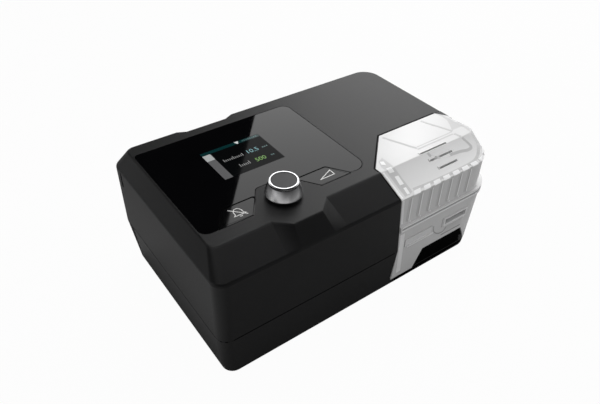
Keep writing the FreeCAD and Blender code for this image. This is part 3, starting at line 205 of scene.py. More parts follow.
def moulded(name, colour, roughness, grain=0.45, relief=0.03, **sockets):
    """Moulded plastic: a fine spark grain, slightly uneven colour and gloss."""
    finish = Finish(name, **sockets)
    finish.mottle(finish.noise(60, detail=3), colour, share=0.12)
    fine = finish.noise(grain)
    finish.gloss(fine, roughness, give=0.04)
    finish.bump(fine, relief)
    return finish.material


def brushed(name, colour, roughness, squeeze, grain=0.5, relief=0.01):
    """Metal with fine turned or drawn lines."""
    finish = Finish(name, Metallic=1.0)
    lines = finish.noise(grain, detail=3, squeeze=squeeze)
    finish.feed("Base Color", finish.tint(lines, shade(colour, 0.9), colour))
    finish.gloss(lines, roughness, give=0.05)
    finish.bump(lines, relief)
    return finish.material


def glossy(name, colour, roughness, variation=0.1, **sockets):
    """A hard, nearly mirror-like surface with only a trace of unevenness."""
    finish = Finish(name, **sockets)
    finish.mottle(finish.noise(40), colour, share=variation)
    finish.gloss(finish.noise(15), roughness, give=roughness * 0.1)
    return finish.material


def fibrous(name, colour, grain, relief):
    """Foam or felted filter media."""
    finish = Finish(name, Specular_IOR_Level=0.2)
    cells = finish.node("ShaderNodeTexVoronoi", {
        "Vector": finish.coordinates, "Scale": 1 / (grain * MM),
    }).outputs["Distance"]
    finish.feed("Base Color", finish.tint(cells, shade(colour, 0.55), colour))
    finish.feed("Roughness", finish.between(finish.noise(grain * 2), 0.85, 0.98))
    finish.bump(cells, relief)
    return finish.material


def painted_shade_metal(name, bottom, top, roughness):
    """Polished metal with painted shade: it darkens from the knob's foot to its shoulder, under the
    ring.
    """
    finish = Finish(name, Metallic=1.0)
    low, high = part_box("knob_body")
    share = ramp(finish.tree, finish.height(), low.z, high.z, *NOISE_SPAN)
    finish.feed("Base Color", finish.tint(share, bottom, top))
    finish.gloss(finish.noise(30, detail=0), roughness, give=0.01)
    return finish.material


def frosted(name, colour, roughness, alpha=1.0):
    """Translucent moulded plastic, with painted shade: a little greyer on the slopes and faces near
    the case's top.
    """
    grey_from, grey_to, top_shade = 0.107, 0.118, 0.8     # two heights in metres, and a share
    finish = Finish(name, Alpha=alpha, IOR=1.49, Specular_IOR_Level=0.45)
    # painted shade: the colour darkens between the two heights, to a share of itself at the top
    share = ramp(finish.tree, finish.height(), grey_from, grey_to, 1.0, top_shade)
    tone = finish.tint(finish.noise(60, detail=0), shade(colour, 0.98), colour)
    greyed = finish.node("ShaderNodeVectorMath", {0: tone, "Scale": share}, operation="SCALE")
    finish.feed("Base Color", greyed.outputs["Vector"])
    finish.gloss(finish.noise(30, detail=0), roughness, give=0.01)
    return finish.material


def frost(name, value):
    """Frosted plastic of one lightness, for what shows through or stands on the clear walls, and
    for painted highlights and painted shade on them.
    """
    return frosted(name, (value, value, value * 1.004), 0.34)


def shadow(name, level=0.0015):
    """Next to no light, for the gaps between pieces."""
    return moulded(name, (level, level, level + 0.0001), 0.8, Specular_IOR_Level=0.02)


def circuit_board(name):
    """Green solder mask with fine copper tracks showing through it."""
    pitch = 9 * MM                          # from one track to the next
    finish = Finish(name, Specular_IOR_Level=0.5)
    tracks = finish.node("ShaderNodeTexBrick", {
        "Vector": finish.coordinates, "Scale": 1 / pitch, "Mortar Size": 0.012,
        "Color1": (0.010, 0.070, 0.030, 1), "Color2": (0.012, 0.085, 0.036, 1),
        "Mortar": (0.045, 0.16, 0.06, 1),
    })
    finish.feed("Base Color", tracks.outputs["Color"])
    finish.feed("Roughness", finish.between(finish.noise(5), 0.3, 0.42))
    finish.bump(tracks.outputs["Fac"], -0.02)
    return finish.material


def lit(name, colour, glow=0.35):
    """A lit part of the display: a fine grid of cells behind glass."""
    cell = 1.2 * MM
    finish = Finish(name, Specular_IOR_Level=0.15, Emission_Strength=glow)
    cells = finish.node("ShaderNodeTexBrick", {
        "Vector": finish.coordinates, "Scale": 1 / cell, "Mortar Size": 0.03,
        "Color1": (*colour, 1), "Color2": (*shade(colour, 0.94), 1),
        "Mortar": (*shade(colour, 0.8), 1),
    }, offset=0.0)
    finish.feed("Base Color", cells.outputs["Color"])
    finish.feed("Emission Color", cells.outputs["Color"])
    finish.feed("Roughness", finish.between(finish.noise(15), 0.05, 0.09))
    return finish.material


# ---------------------------------------------------------------- the record's material slots

CHARCOAL = (0.0065, 0.0065, 0.0069)

# A recipe takes a name, a colour and a roughness, then what is special to it. The knob's metal
# takes two colours, the bottom's and the top's, the darker top being painted shade. The fibrous
# one takes its grain and its relief in millimetres instead of a roughness.

SLOTS = {
    "case_plastic": moulded("case_plastic", CHARCOAL, 0.42, Specular_IOR_Level=0.19),
    "louvre_plastic": moulded(
        "louvre_plastic", (0.006, 0.006, 0.007), 0.5, Specular_IOR_Level=0.12),
    "corner_plastic": moulded("corner_plastic", (0.03, 0.03, 0.032), 0.46, Specular_IOR_Level=0.2),
    "display_glass": glossy(
        "display_glass", (0.0015, 0.0015, 0.0018), 0.03, Specular_IOR_Level=0.235),
    "screen": glossy("screen", (0.002, 0.0025, 0.004), 0.05),
    "key_plastic": glossy("key_plastic", (0.0018, 0.0018, 0.002), 0.04, Specular_IOR_Level=0.24),
    "knob_metal": painted_shade_metal("knob_metal", (0.93, 0.93, 0.94), (0.13, 0.13, 0.134), 0.24),
    "ring_metal": glossy("ring_metal", (0.8, 0.8, 0.81), 0.22, variation=0.02, Metallic=1.0),
    "cap_plastic": moulded("cap_plastic", (0.02, 0.02, 0.021), 0.42, Specular_IOR_Level=0.3),
    "clear_plastic": frosted("clear_plastic", (0.78, 0.78, 0.781), 0.24, alpha=0.94),
    "release_plastic": frosted("release_plastic", (0.8, 0.8, 0.802), 0.32),
    "rubber": moulded("rubber", (0.012, 0.012, 0.012), 0.75, grain=0.8, relief=0.04),
    "lid_silicone": moulded("lid_silicone", (0.62, 0.63, 0.64), 0.5, grain=0.7),
    "steel": brushed("steel", (0.55, 0.55, 0.56), 0.3, (1, 1, 6)),
    "motor_metal": brushed("motor_metal", (0.42, 0.42, 0.43), 0.35, (1, 1, 10)),
    "heater_metal": brushed("heater_metal", (0.62, 0.62, 0.63), 0.32, (8, 1, 1)),
    "magnet": glossy("magnet", (0.09, 0.09, 0.10), 0.35, Metallic=0.6),
    "winding": brushed("winding", (0.72, 0.32, 0.14), 0.3, (1, 1, 14), grain=0.8, relief=0.06),
    "inner_plastic": moulded("inner_plastic", (0.06, 0.06, 0.062), 0.5),
    "board": circuit_board("board"),
    "capacitor": glossy("capacitor", (0.03, 0.035, 0.06), 0.3),
    "card_plastic": moulded("card_plastic", (0.02, 0.03, 0.09), 0.4),
    "foam": fibrous("foam", (0.05, 0.05, 0.052), 1.6, 0.5),
    "filter_media": fibrous("filter_media", (0.75, 0.76, 0.76), 1.0, 0.2),
}


def paint(piece, material):
    """Gives a whole object one material, in every slot that it has."""
    if not piece.data.materials:
        piece.data.materials.append(material)
    for slot in piece.material_slots:
        slot.link = "OBJECT"
        slot.material = material


def dress_nodes():
    """Every CAD node gets the finish that the record names for it."""
    for part in frame["record"]["subparts"]:
        paint(NODES[part["node"]], SLOTS[part["material_slot"]])


# ---------------------------------------------------------------- rays and grids of rays

# A ray is (start, direction). Each ground point of a detail piece is given as a ray, and lies
# where that ray first meets the node that carries the piece. A grid is a list of cross-rows.

def down(x, y):
    return at(x, y, OVER), Vector((0, 0, -1))


def front(x, z):
    return at(x, AHEAD, z), Vector((0, 1, 0))


def inward(middle, bearing, z):
    """A level ray towards a middle point, from a bearing in degrees."""
    reach = 0.4                             # metres, to start outside the object
    out = Vector((math.cos(math.radians(bearing)), math.sin(math.radians(bearing)), 0))
    return at(*middle, z) + out * reach, -out


def around(middle, bearings, heights):
    """An upright strip on a wall, seen from a middle point."""
    return [[inward(middle, b, z) for z in heights] for b in bearings]


def spread(start, end, step):
    """Evenly spaced shares of a stretch, from 0 to just before 1, about one step apart."""
    count = max(1, round((end - start).length / step))
    return [i / count for i in range(count)]


def mitre(arriving, leaving, least):
    """Which way is across at a corner, and the cosine of half its turn, but not below least."""
    along = (arriving + leaving).normalized()
    return Vector((-along.y, along.x)), max(least, along.dot(arriving))


def ribbon(path, width, lay=down, closed=False, step=2.0):
    """A flat strip along a path, with mitred corners."""
    corners = [Vector(p) for p in path]
    ends = corners[1:] + corners[:1] if closed else corners[1:]
    line = [a.lerp(b, t) for a, b in zip(corners, ends) for t in spread(a, b, step)]
    if not closed:
        line.append(corners[-1])
    rows = []
    for i, point in enumerate(line):
        before = line[i - 1] if i or closed else None
        after = line[(i + 1) % len(line)] if i + 1 < len(line) or closed else None
        arriving = (point - before).normalized() if before else (after - point).normalized()
        leaving = (after - point).normalized() if after else arriving
        side, cosine = mitre(arriving, leaving, 0.5)
        across = side * width / 2 / cosine
        rows.append([lay(*(point + across)), lay(*(point - across))])
    return rows


def between_lines(left, right, lay=down, columns=4):
    """The area between two lines with the same number of points."""
    parts = 4                               # cross-rows to each stretch of the lines
    left, right = [Vector(p) for p in left], [Vector(p) for p in right]
    rows = []
    for i in range(len(left) - 1):
        last = i == len(left) - 2
        for k in range(parts + last):
            a = left[i].lerp(left[i + 1], k / parts)
            b = right[i].lerp(right[i + 1], k / parts)
            rows.append([lay(*b.lerp(a, j / columns)) for j in range(columns + 1)])
    return rows


def rectangle(x0, y0, x1, y1, lay=down):
    return between_lines([(x0, y0), (x0, y1)], [(x1, y0), (x1, y1)], lay)


def rounded(path, step=2.0):
    """A smooth line through the points of a path."""
    points = [Vector(p) for p in path]
    points = [2 * points[0] - points[1]] + points + [2 * points[-1] - points[-2]]
    line = []
    for a, b, c, d in zip(points, points[1:], points[2:], points[3:]):
        for t in spread(b, c, step):
            line.append(0.5 * (2 * b + (c - a) * t + (2 * a - 5 * b + 4 * c - d) * t ** 2
                               + (3 * b - a - 3 * c + d) * t ** 3))
    return [tuple(p) for p in line] + [path[-1]]


# ---------------------------------------------------------------- detail pieces

SHARP = math.radians(35)                    # edges that turn more than this look sharp


def face_outwards(mesh):
    """Turns the faces of closed shells so that their normals point out."""
    shells = bmesh.new()
    shells.from_mesh(mesh)
    bmesh.ops.recalc_face_normals(shells, faces=shells.faces)
    shells.to_mesh(mesh)
    shells.free()


class Inlay:
    """A detail piece: one or more thin closed shells that follow a node's surface."""

    def __init__(self, name, node, proud, sink=0.3):
        """Its top is proud millimetres above the node's surface, its underside sink below."""
        self.name, self.node, self.proud, self.sink = name, node, proud * MM, sink * MM
        mesh = NODES[node].data
        self.tree = BVHTree.FromPolygons(
            [v.co for v in mesh.vertices], [p.vertices for p in mesh.polygons])
        self.points, self.faces = [], []

    def add(self, rows, closed=False):
        """One shell over a grid of rays; a closed one joins its last row to its first."""
        wide, first = len(rows[0]), len(self.points)
        count = len(rows) * wide
        upper, lower = [], []
        for start, direction in (ray for row in rows for ray in row):
            place, normal, _, _ = self.tree.ray_cast(start, direction)
            if place is None:
                where = (start - CASE_CORNER) / MM
                raise ValueError(f"{self.name} reaches past {self.node} at {where}")
            upper.append(place + normal * self.proud)
            lower.append(place - normal * self.sink)
        self.points += upper + lower

        def spot(row, column, low=0):
            return first + low * count + (row % len(rows)) * wide + column

        def wall(a, b):
            """A side face between two neighbouring spots of the upper and the lower side."""
            self.faces.append([spot(*a), spot(*b), spot(*b, 1), spot(*a, 1)])

        last, edge = len(rows) if closed else len(rows) - 1, wide - 1
        for i in range(last):
            for j in range(edge):
                quad = [(i, j), (i + 1, j), (i + 1, j + 1), (i, j + 1)]
                self.faces.append([spot(*q) for q in quad])
                self.faces.append([spot(*q, 1) for q in reversed(quad)])
            wall((i + 1, 0), (i, 0))
            wall((i, edge), (i + 1, edge))
        if not closed:
            for j in range(edge):
                wall((0, j), (0, j + 1))
                wall((last, j + 1), (last, j))
        return self

    def place(self, finish, slot):
        """Makes the object, on the same body as the node that carries it."""
        mesh = bpy.data.meshes.new(self.name)
        mesh.from_pydata(self.points, [], self.faces)
        face_outwards(mesh)
        mesh.shade_smooth()
        mesh.set_sharp_from_angle(angle=SHARP)
        mesh.materials.append(finish)
        piece = new_object(self.name, mesh)
        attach(piece, NODES[self.node]["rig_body"])


def lay_clear(name, node, proud, finish, grids, sink=0.3):
    """A detail piece on the humidifier's clear plastic, with one shell to each grid."""
    piece = Inlay(name, node, proud, sink)
    for rows in grids:
        piece.add(rows)
    piece.place(finish, "clear_plastic")


# ---------------------------------------------------------------- the display and the keys

def add_number(name, text, place, size, finish):
    """Digits on the display, cut from sheet and standing a hair above it."""
    thickness, clearance = 0.03, 0.05
    curve = bpy.data.curves.new(name, "FONT")
    curve.body = text
    curve.size = size * MM
    curve.extrude = thickness * MM
    carrier = bpy.data.objects.new(name + "_outline", curve)
    mesh = bpy.data.meshes.new_from_object(carrier)
    bpy.data.objects.remove(carrier)
    mesh.materials.clear()
    mesh.materials.append(finish)
    piece = new_object(name, mesh)
    piece.location = at(*place, TOP + clearance)
    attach(piece, "housing")


def add_ticks(name, proud, places, pitch, width, tall, short, finish):
    """Rows of ticks in place of lettering, every fifth one tall; a place is (x, y, count)."""
    ticks = Inlay(name, "display_glass", proud)
    for x0, y0, count in places:
        for i in range(count):
            x = x0 + pitch * i
            ticks.add(rectangle(x, y0, x + width, y0 + (short if i % 5 else tall)))
    ticks.place(finish, "screen")


def add_display():
    """The display's picture, in thin layers on the glass."""
    dark = glossy("screen_face", (0.0022, 0.0025, 0.0028), 0.05, Specular_IOR_Level=0.03)
    marker = between_lines([(93.8, 133.5), (95.6, 130.0)], [(98.2, 133.5), (96.6, 130.0)])
    for name, proud, rows, finish in (
            ("screen_face", 0.02, rectangle(60, 90, 119, 134), dark),
            ("screen_header", 0.04, rectangle(60.4, 129.8, 118.6, 133.7),
             lit("screen_teal", (0.002, 0.018, 0.019))),
            ("screen_marker", 0.06, marker, lit("screen_pale", (0.5, 0.52, 0.52))),
            ("screen_bar", 0.04, rectangle(60.4, 90.4, 68, 120.2),
             lit("screen_grey", (0.085, 0.085, 0.087))),
            ("screen_bar_head", 0.04, rectangle(60.4, 120.2, 68, 129.4),
             lit("screen_light", (0.30, 0.31, 0.31)))):
        Inlay(name, "display_glass", proud).add(rows).place(finish, "screen")

    add_ticks("screen_scales", 0.04, [(72.5, 111.8, 11), (80.5, 98.6, 6)],
              pitch=1.8, width=0.7, tall=4.2, short=2.6,
              finish=lit("screen_white", (0.2, 0.2, 0.2)))
    add_ticks("screen_small_ticks", 0.06, [(101.0, 130.9, 8), (110.8, 112.6, 3), (110.8, 98.4, 2)],
              pitch=2.0, width=1.3, tall=1.7, short=1.7,
              finish=lit("screen_teal_pale", (0.035, 0.08, 0.08)))
    add_number("screen_upper_number", "10.5", (94.6, 111.8), size=7.4,
               finish=lit("screen_cyan", (0.12, 0.26, 0.28)))
    add_number("screen_lower_number", "500", (95.4, 97.6), size=7.0,
               finish=lit("screen_green", (0.13, 0.27, 0.06)))


def add_key_marks():
    """A rising ramp on one key and a crossed-out bell on the other."""
    # The marks are print; the glow that lit gives them is painted light.
    pale = lit("key_mark", (0.62, 0.62, 0.61), 0.2)
    rise = Inlay("start_mark", "start_button", 0.03)
    rise.add(ribbon([(124.6, 46.9), (138.9, 46.9), (138.9, 53.4)], 0.7, closed=True, step=1.0),
             closed=True)
    rise.place(pale, "key_plastic")

    line = 0.55                             # the width of the bell's lines
    dome = [(43.0, 46.6), (44.4, 48.2), (44.7, 51.4), (46.2, 53.6), (48.0, 54.3), (49.8, 53.6),
            (51.3, 51.4), (51.6, 48.2), (53.0, 46.6)]
    clapper = [(46.6, 45.2), (48, 44.4), (49.4, 45.2)]
    bell = Inlay("mute_mark", "mute_button", 0.03)
    bell.add(ribbon(rounded(dome, 0.7), line))
    bell.add(ribbon([(42.6, 46.4), (53.4, 46.4)], line))
    bell.add(ribbon(rounded(clapper, 0.5), line))
    bell.place(pale, "key_plastic")
    slash = Inlay("mute_slash", "mute_button", 0.05)
    slash.add(ribbon([(42.2, 55.8), (53.6, 44.2)], 0.6))
    slash.place(pale, "key_plastic")


def face_loops(node, z):
    """The closed outlines of a node's level face at height z, with the face on their left."""
    upright, tolerance = 0.99, 0.02 * MM
    mesh = NODES[node].data
    level = at(0, 0, z).z
    corners, edges = {}, set()
    for face in mesh.polygons:
        off = (abs(mesh.vertices[v].co.z - level) > tolerance for v in face.vertices)
        if face.normal.z < upright or any(off):
            continue
        ring = []
        for v in face.vertices:
            place = (mesh.vertices[v].co - CASE_CORNER) / MM
            key = (round(place.x, 2), round(place.y, 2))
            corners[key] = Vector((place.x, place.y))
            ring.append(key)
        edges.update(zip(ring, ring[1:] + ring[:1]))
    onward = {a: b for a, b in edges if (b, a) not in edges and a != b}
    loops = []
    while onward:
        first, spot = onward.popitem()
        loop = [first]
        while spot != first:
            loop.append(spot)
            spot = onward.pop(spot)
        loops.append([corners[key] for key in loop])
    return loops


def add_outlines():
    """Painted shadow along the edges of the glass and the keys, where the gaps between them fall
    away.
    """
    far, near = 0.42, 0.06                  # the strip's edges, inwards from the outline
    shortest = 0.25                         # closer points of an outline count as one
    black = shadow("gap_shadow", 0.001)
    for node, slot in (("display_glass", "display_glass"), ("mute_button", "key_plastic"),
                       ("start_button", "key_plastic")):
        outline = Inlay(node + "_outline", node, 0.02)
        for loop in face_loops(node, TOP):
            loop = [p for i, p in enumerate(loop) if (p - loop[i - 1]).length > shortest]
            rows = []
            for before, point, after in zip(loop[-1:] + loop, loop, loop[1:] + loop[:1]):
                side, cosine = mitre(
                    (point - before).normalized(), (after - point).normalized(), 0.6)
                inside = side / cosine
                row = [down(*(point + inside * far)), down(*(point + inside * near))]
                if any(outline.tree.ray_cast(*ray)[0] is None for ray in row):
                    continue                # a corner tighter than the strip
                rows.append(row)
            outline.add(rows, closed=True)
        outline.place(black, slot)


def add_knob_gasket():
    """A dark ring where the knob's bright ring meets its skirt."""
    radius, thick, drop = 12.12 * MM, 0.3 * MM, 0.25 * MM
    turns, leans = 96, 10                   # points around the knob, and around the ring's wire
    low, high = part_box("knob_body")
    centre = (low + high) / 2
    centre.z = high.z - drop
    points, faces = [], []
    for i in range(turns):
        turn = 2 * math.pi * i / turns
        for j in range(leans):
            lean = 2 * math.pi * j / leans
            reach = radius + thick * math.cos(lean)
            points.append(centre + Vector((
                reach * math.cos(turn), reach * math.sin(turn), thick * math.sin(lean))))
            here, near, beside = i * leans, (i + 1) % turns * leans, (j + 1) % leans
            faces.append([here + j, near + j, near + beside, here + beside])
    mesh = bpy.data.meshes.new("knob_gasket")
    mesh.from_pydata(points, [], faces)
    mesh.shade_smooth()
    mesh.materials.append(SLOTS["rubber"])
    piece = new_object("knob_gasket", mesh)
    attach(piece, "knob")


# ---------------------------------------------------------------- the case's seam and bay

def add_seam():
    """The shadow line between the case's halves, from the bay by the left end to the back right."""
    seam = Inlay("case_seam", "base_tray", 0.01)
    half_degrees = range(2 * -5, 2 * 314)
    seam.add(around(CASE_MIDDLE, [b / 2 for b in half_degrees], (41.8, 42.4, 42.95)))
    seam.place(shadow("seam_shadow"), "case_plastic")


def add_bay_edge():
    """The shadow line on the case's top, along the edge of the humidifier's bay."""
    path = [(171.9, 1.0), (170.8, 26.5), (170.8, 33.6), (207.6, 70.5), (279.0, 70.5)]
    edge = Inlay("bay_edge", "top_cover", 0.02)
    edge.add(ribbon(path, 1.0))
    edge.place(shadow("bay_shadow"), "case_plastic")


def add_rail_shade():
    """Painted shade on the face of the rail that the tub straddles, and on the lip under the tub.
    """
    left, right = [(203.4, 8.6), (213.4, 27.4)], [(273.6, 8.6), (263.6, 27.4)]
    face = Inlay("rail_face", "base_tray", 0.05)
    face.add(between_lines(left, right, front, columns=12))
    face.add(around(LID_MIDDLE, range(-134, -4, 2), (1.4, 4.5, 7.6)))
    face.place(moulded("rail_painted_shade", (0.0003, 0.0003, 0.0003), 0.6, Specular_IOR_Level=0.01),
               "case_plastic")


# ---------------------------------------------------------------- the humidifier's lid

# Three lightnesses of the frosted plastic, for painted highlights and painted shade on the lid, and
# for its band, windows, dots and hooks.
LID_PALE, LID_MID, LID_DIM = (
    frost(name, value) for name, value in (
        ("frost_pale", 0.93), ("frost_mid", 0.56), ("frost_dim", 0.42)))


def add_lid_top():
    """The band with its windows, the painted highlight along the rim at the lid's left, and the air
    duct seen through it.
    """
    lay_clear("lid_band", "tub_lid", 0.06, LID_MID, [between_lines(
        [(178.3, 1.6), (177.6, 12.7), (177.3, 25.7), (177.6, 33.0), (181.0, 39.0)],
        [(187.5, 2.6), (186.7, 15.1), (186.6, 25.8), (186.8, 33.0), (187.1, 42.0)])])
    windows = (                             # the left and the right side of each
        (((179.7, 34.4), (181.4, 38.6)), ((182.6, 31.6), (184.5, 37.0))),
        (((178.9, 23.0), (179.2, 28.2)), ((183.9, 22.6), (184.2, 27.9))),
        (((180.5, 11.1), (180.9, 19.1)), ((184.7, 11.0), (184.9, 18.7))),
        (((181.2, 2.4), (181.6, 8.3)), ((184.2, 2.3), (184.4, 8.0))))
    lay_clear("lid_windows", "tub_lid", 0.16, LID_PALE, [
        between_lines(left, right) for left, right in windows])
    lay_clear("lid_left_rim_highlight", "tub_lid", 0.2, LID_PALE, [
        ribbon([(174.7, 1.2), (174.2, 12.0), (173.8, 25.5)], 1.8),
        ribbon([(175.2, 102.2), (177.8, 75.5)], 2.0, front)])
    lay_clear("lid_duct_lines", "tub_lid", 0.05, frost("frost_duct", 0.5), [
        ribbon([(209.0, 65.5), (222.6, 35.6)], 2.4),
        ribbon([(222.0, 33.9), (266.8, 33.9)], 1.5),
        ribbon([(224.4, 37.0), (269.0, 37.0)], 0.9),
        ribbon([(258.2, 66.5), (270.3, 37.4)], 2.3),
        ribbon(rounded([(268.4, 33.6), (270.0, 25.0), (272.2, 18.0), (271.4, 14.6), (266.0, 13.9),
                        (257.7, 15.4), (239.8, 17.1), (228.4, 20.3), (225.6, 25.6)]), 2.6)])


def add_lid_end():
    """Painted shade on the border of the lid's top, along the front and around the right end."""
    lay_clear("lid_end_shade", "tub_lid", 0.05, LID_MID, [
        ribbon(rounded([(189.4, 3.9), (208.1, 2.9), (235.1, 2.5), (251.0, 2.6), (264.9, 3.6),
                        (275.6, 8.9), (282.6, 17.0), (285.0, 29.6), (285.6, 42.4), (285.4, 53.4)]),
               2.6),
        between_lines([(270.8, 38.6), (276.2, 46.1), (280.2, 53.0), (281.6, 60.0), (280.6, 67.0)],
                      [(284.6, 38.6), (284.8, 46.1), (284.6, 53.0), (284.0, 60.0), (282.6, 67.0)])])


def add_lid_ribs():
    """Light and shade beside each rib of the lid's front wall, and a dot under each gap."""
    low, high = 76.0, 100.6                 # the ribs' ends
    ribs = [LID_RIB + LID_PITCH * i for i in range(7)]
    for name, finish, beside, width in (("lid_rib_lights", LID_PALE, 1.5, 1.2),
                                        ("lid_rib_shades", LID_MID, -1.7, 1.5)):
        lay_clear(name, "tub_lid", 0.08, finish, [
            ribbon([(x + beside, low), (x + beside, high)], width, front) for x in ribs])
    half, beside = 0.6, 3.4
    lay_clear("lid_dots", "tub_lid", 0.35, LID_PALE, [
        rectangle(x + beside - half, 73.6, x + beside + half, 74.8, front) for x in ribs[:-1]])


def add_lid_grooves():
    """Painted shade on the floors of the three grip grooves, and the hook at the left end of each.
    """
    grooves = ((219.0, 251.0, 27.5), (223.0, 250.5, 18.8), (226.5, 249.0, 10.2))
    lay_clear("lid_groove_shade", "tub_lid", 0.05, frost("frost_groove_shade", 0.2), [
        ribbon([(x0 + 1.2, y), (x1 - 1.2, y)], 1.3) for x0, x1, y in grooves], sink=0.2)
    lay_clear("lid_groove_hooks", "tub_lid", 0.08, LID_DIM, [
        ribbon([(x0 - 1.0, y + 1.8), (x0 - 1.0, y - 1.0)], 1.3, step=1.0) for x0, _, y in grooves])


def add_lid_crown():
    """Painted highlights on a row of short raised ledges at the top of the lid's wall, one to each
    rib, around the corner.
    """
    level, heights = 103.0, (102.6, 103.4, 104.2, 104.9)
    first, last = 1.4, 9.6                  # a ledge's ends, from its rib on
    crown = Inlay("lid_crown", "tub_lid", 0.45)
    bearings = [-138 + 0.25 * i for i in range(4 * 98)]
    line = [crown.tree.ray_cast(*inward(LID_MIDDLE, b, level))[0] for b in bearings]
    start = at(LID_RIB, 0).x
    travel, marks = 0.0, []                 # millimetres along the wall from the first rib
    for b, place, following in zip(bearings, line, line[1:]):
        if place.x >= start or marks:
            marks.append((travel, b))
            travel += (following - place).length / MM
    for i in range(int(travel / LID_PITCH)):
        low, high = LID_PITCH * i + first, LID_PITCH * i + last
        stretch = [b for along, b in marks if low <= along <= high]
        crown.add(around(LID_MIDDLE, stretch, heights))
    crown.place(LID_PALE, "clear_plastic")


# ---------------------------------------------------------------- the rims and the tub

def add_rims():
    """The rims of lid and tub: painted highlights on two edges, with painted shade in the parting
    line between them.
    """
    pale, dark = frost("rim_highlight", 0.98), frost("rim_shade", 0.16)
    for name, node, low, high, finish in (
            ("lid_rim_light", "tub_lid", 70.9, 72.1, pale),
            ("lid_rim_line", "tub_lid", 69.1, 69.9, dark),
            ("tub_rim_light", "water_tub", 66.6, 68.2, pale)):
        strip = around(LID_MIDDLE, range(-134, -30), (low, (low + high) / 2, high))
        lay_clear(name, node, 0.01, finish, [strip])


def add_tub_details():
    """Painted highlights on the frame of the finger slot, on two strips near it and on the left
    edge, and painted shade on the lines along the step and on the shelf below the slot.
    """
    slot_frame = Inlay("slot_frame", "water_tub", 0.35)
    slot_frame.add(ribbon([(235.9, 45.8), (265.2, 45.8), (265.2, 53.4), (235.9, 53.4)], 1.1, front,
                          closed=True), closed=True)
    slot_frame.add(ribbon([(238.0, 43.4), (264.0, 43.4)], 1.6, front))
    slot_frame.add(ribbon([(190.0, 42.6), (222.6, 42.6)], 1.8, front))
    slot_frame.place(frost("tub_highlight", 0.93), "clear_plastic")
    lay_clear("tub_left_strip", "water_tub", 0.15, frost("tub_edge_highlight", 0.98), [
        ribbon([(181.4, 62.0), (182.6, 40.0), (184.0, 14.0)], 5.0, front)])
    lay_clear("tub_step_lines", "water_tub", 0.1, frost("tub_step_shade", 0.3), [
        ribbon(rounded([(222.4, 51.0), (223.6, 44.6), (227.6, 39.6), (234.0, 36.6), (239.0, 37.6),
                        (241.0, 41.0)]), 0.9, front),
        ribbon([(235.8, 33.2), (262.0, 33.2)], 1.3, front)])
    lay_clear("tub_shelf", "water_tub", 0.12, frost("tub_shelf_shade", 0.62), [
        rectangle(242.4, 35.6, 262.0, 41.6, front)])


# ---------------------------------------------------------------- camera, floor and world

CAMERA_PLACE = (-0.26857, -0.34724, 0.40395)
CAMERA_TURN = (50.773, -1.149, -35.832)     # degrees about X, Y and Z
CAMERA_LENS = 34.955                        # millimetres on a 36 mm sensor


def degrees(*angles):
    return Euler([math.radians(a) for a in angles])


def add_camera():
    data = bpy.data.cameras.new("camera")
    data.lens = CAMERA_LENS
    data.clip_start, data.clip_end = 0.01, 20
    camera = new_object("camera", data)
    camera.location = CAMERA_PLACE
    camera.rotation_euler = degrees(*CAMERA_TURN)
    bpy.context.scene.camera = camera


def backdrop_rays(tree, seen, mirrored):
    """How much of the white backdrop a ray sees: camera and see-through rays, and mirror rays."""
    path = tree.nodes.new("ShaderNodeLightPath")
    camera, clear, mirror = (
        calculate(tree, "MULTIPLY", path.outputs[kind], share) for kind, share in (
            ("Is Camera Ray", seen), ("Is Transmission Ray", seen), ("Is Glossy Ray", mirrored)))
    return calculate(tree, "MAXIMUM", calculate(tree, "MAXIMUM", camera, clear), mirror)


def axes(tree, coordinates):
    """The X, Y and Z outputs of texture coordinates."""
    where = tree.nodes.new("ShaderNodeTexCoord").outputs[coordinates]
    return new_node(tree, "ShaderNodeSeparateXYZ", {0: where}).outputs


def add_floor():
    """A pale floor that keeps the shadow, and that the camera sees as nearly white."""
    edge, level = 12.0, CAD_BOX[0].z
    whiteness = 0.97                        # share of the backdrop that the camera sees on it
    mesh = bpy.data.meshes.new("floor")
    corners = [(-edge, -edge), (edge, -edge), (edge, edge), (-edge, edge)]
    mesh.from_pydata([(x, y, level) for x, y in corners], [], [(0, 1, 2, 3)])
    floor = new_object("floor", mesh)

    material = bpy.data.materials.new("floor")
    material.use_nodes = True
    tree = material.node_tree
    tree.nodes.clear()
    # mirror rays see a dark floor, with a paler patch to the left of the case's front
    place = axes(tree, "Object")
    beside = eased(tree, place["X"], -0.2, -0.155, 1.0, 0.0)
    ahead = eased(tree, place["Y"], -0.06, 0.2, 0.36, 0.0)
    patch = calculate(tree, "MULTIPLY_ADD", beside, ahead, 0.03)
    paper = new_node(tree, "ShaderNodeBsdfDiffuse", {"Color": (0.36, 0.36, 0.36, 1)})
    white = new_node(tree, "ShaderNodeEmission", {"Strength": 1.0})
    blend = new_node(tree, "ShaderNodeMixShader", {
        0: backdrop_rays(tree, whiteness, patch), 1: paper.outputs[0], 2: white.outputs[0]})
    new_node(tree, "ShaderNodeOutputMaterial", {"Surface": blend.outputs[0]})
    mesh.materials.append(material)


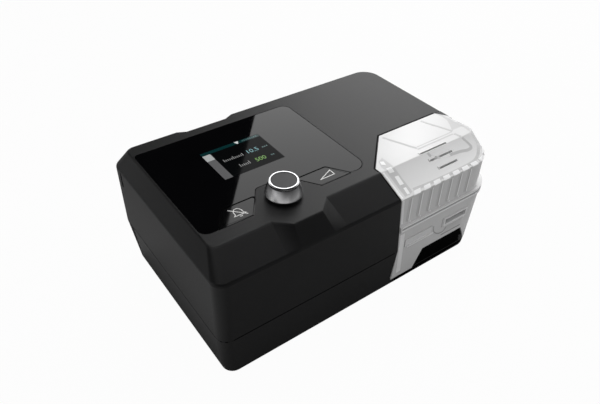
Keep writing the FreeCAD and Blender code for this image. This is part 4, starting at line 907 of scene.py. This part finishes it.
def add_world():
    """A white backdrop, which mirrors show only near the horizon, and a dim even room light."""
    room_light = 0.44
    world = bpy.data.worlds.new("studio")
    bpy.context.scene.world = world
    world.use_nodes = True
    tree = world.node_tree
    tree.nodes.clear()
    # mirror rays see the backdrop fade with height and towards the front
    direction = axes(tree, "Generated")
    low = eased(tree, direction["Z"], 0.2, 0.42, 1.0, 0.0)
    facing = eased(tree, direction["Y"], -0.95, -0.35, 0.3, 1.0)
    backdrop = backdrop_rays(tree, 1.0, calculate(tree, "MULTIPLY", low, facing))
    mirrored = tree.nodes.new("ShaderNodeLightPath").outputs["Is Glossy Ray"]
    room = calculate(tree, "MULTIPLY", calculate(tree, "SUBTRACT", 1.0, mirrored), room_light)
    background = new_node(tree, "ShaderNodeBackground", {
        "Color": (1, 1, 1, 1), "Strength": calculate(tree, "MAXIMUM", backdrop, room)})
    new_node(tree, "ShaderNodeOutputWorld", {"Surface": background.outputs[0]})


# ---------------------------------------------------------------- lights

def add_softbox(name, place, turn, size, radiance):
    """A rectangular soft light, facing down before its turn; radiance is how bright its face is."""
    width, height = size
    data = bpy.data.lights.new(name, "AREA")
    data.shape = "RECTANGLE"
    data.size, data.size_y = width, height
    data.energy = radiance * math.pi * width * height
    lamp = new_object(name, data)
    lamp.location = place
    lamp.rotation_euler = turn


def towards(place, aim=(0.0, 0.0, 0.08)):
    """The turn that points a light at an aim, by default about the middle of the object."""
    return (Vector(aim) - Vector(place)).to_track_quat("-Z", "Y").to_euler()


def add_lights():
    """The key's left edge, mirrored, divides the glass into a black and a grey part."""
    key, key_turn = (0.878, 0.491, 1.003), degrees(55.42, 20.49, 149.84)
    glint, lid = (0.71, 0.49, 0.65), (0.074, -0.051, 0.118)     # the lid mirrors the glint
    over, over_turn = (-0.15, 0.35, 1.7), degrees(12, 5, 0)
    left, right = (-1.5, 0.1, 0.5), (1.35, -0.35, 1.2)
    add_softbox("key", key, key_turn, size=(1.25, 1.5), radiance=2.7)
    add_softbox("glint", glint, towards(glint, lid), size=(0.1, 0.1), radiance=7.5)
    add_softbox("overhead", over, over_turn, size=(1.2, 1.2), radiance=1.5)
    add_softbox("left_fill", left, towards(left), size=(1.0, 0.8), radiance=0.5)
    add_softbox("right_fill", right, towards(right), size=(0.8, 0.8), radiance=1.5)


# ---------------------------------------------------------------- the scene

dress_nodes()
add_display()
add_key_marks()
add_outlines()
add_knob_gasket()
add_seam()
add_bay_edge()
add_rail_shade()
add_lid_top()
add_lid_end()
add_lid_ribs()
add_lid_grooves()
add_lid_crown()
add_rims()
add_tub_details()
add_camera()
add_floor()
add_world()
add_lights()

bpy.context.scene.view_settings.view_transform = "Standard"
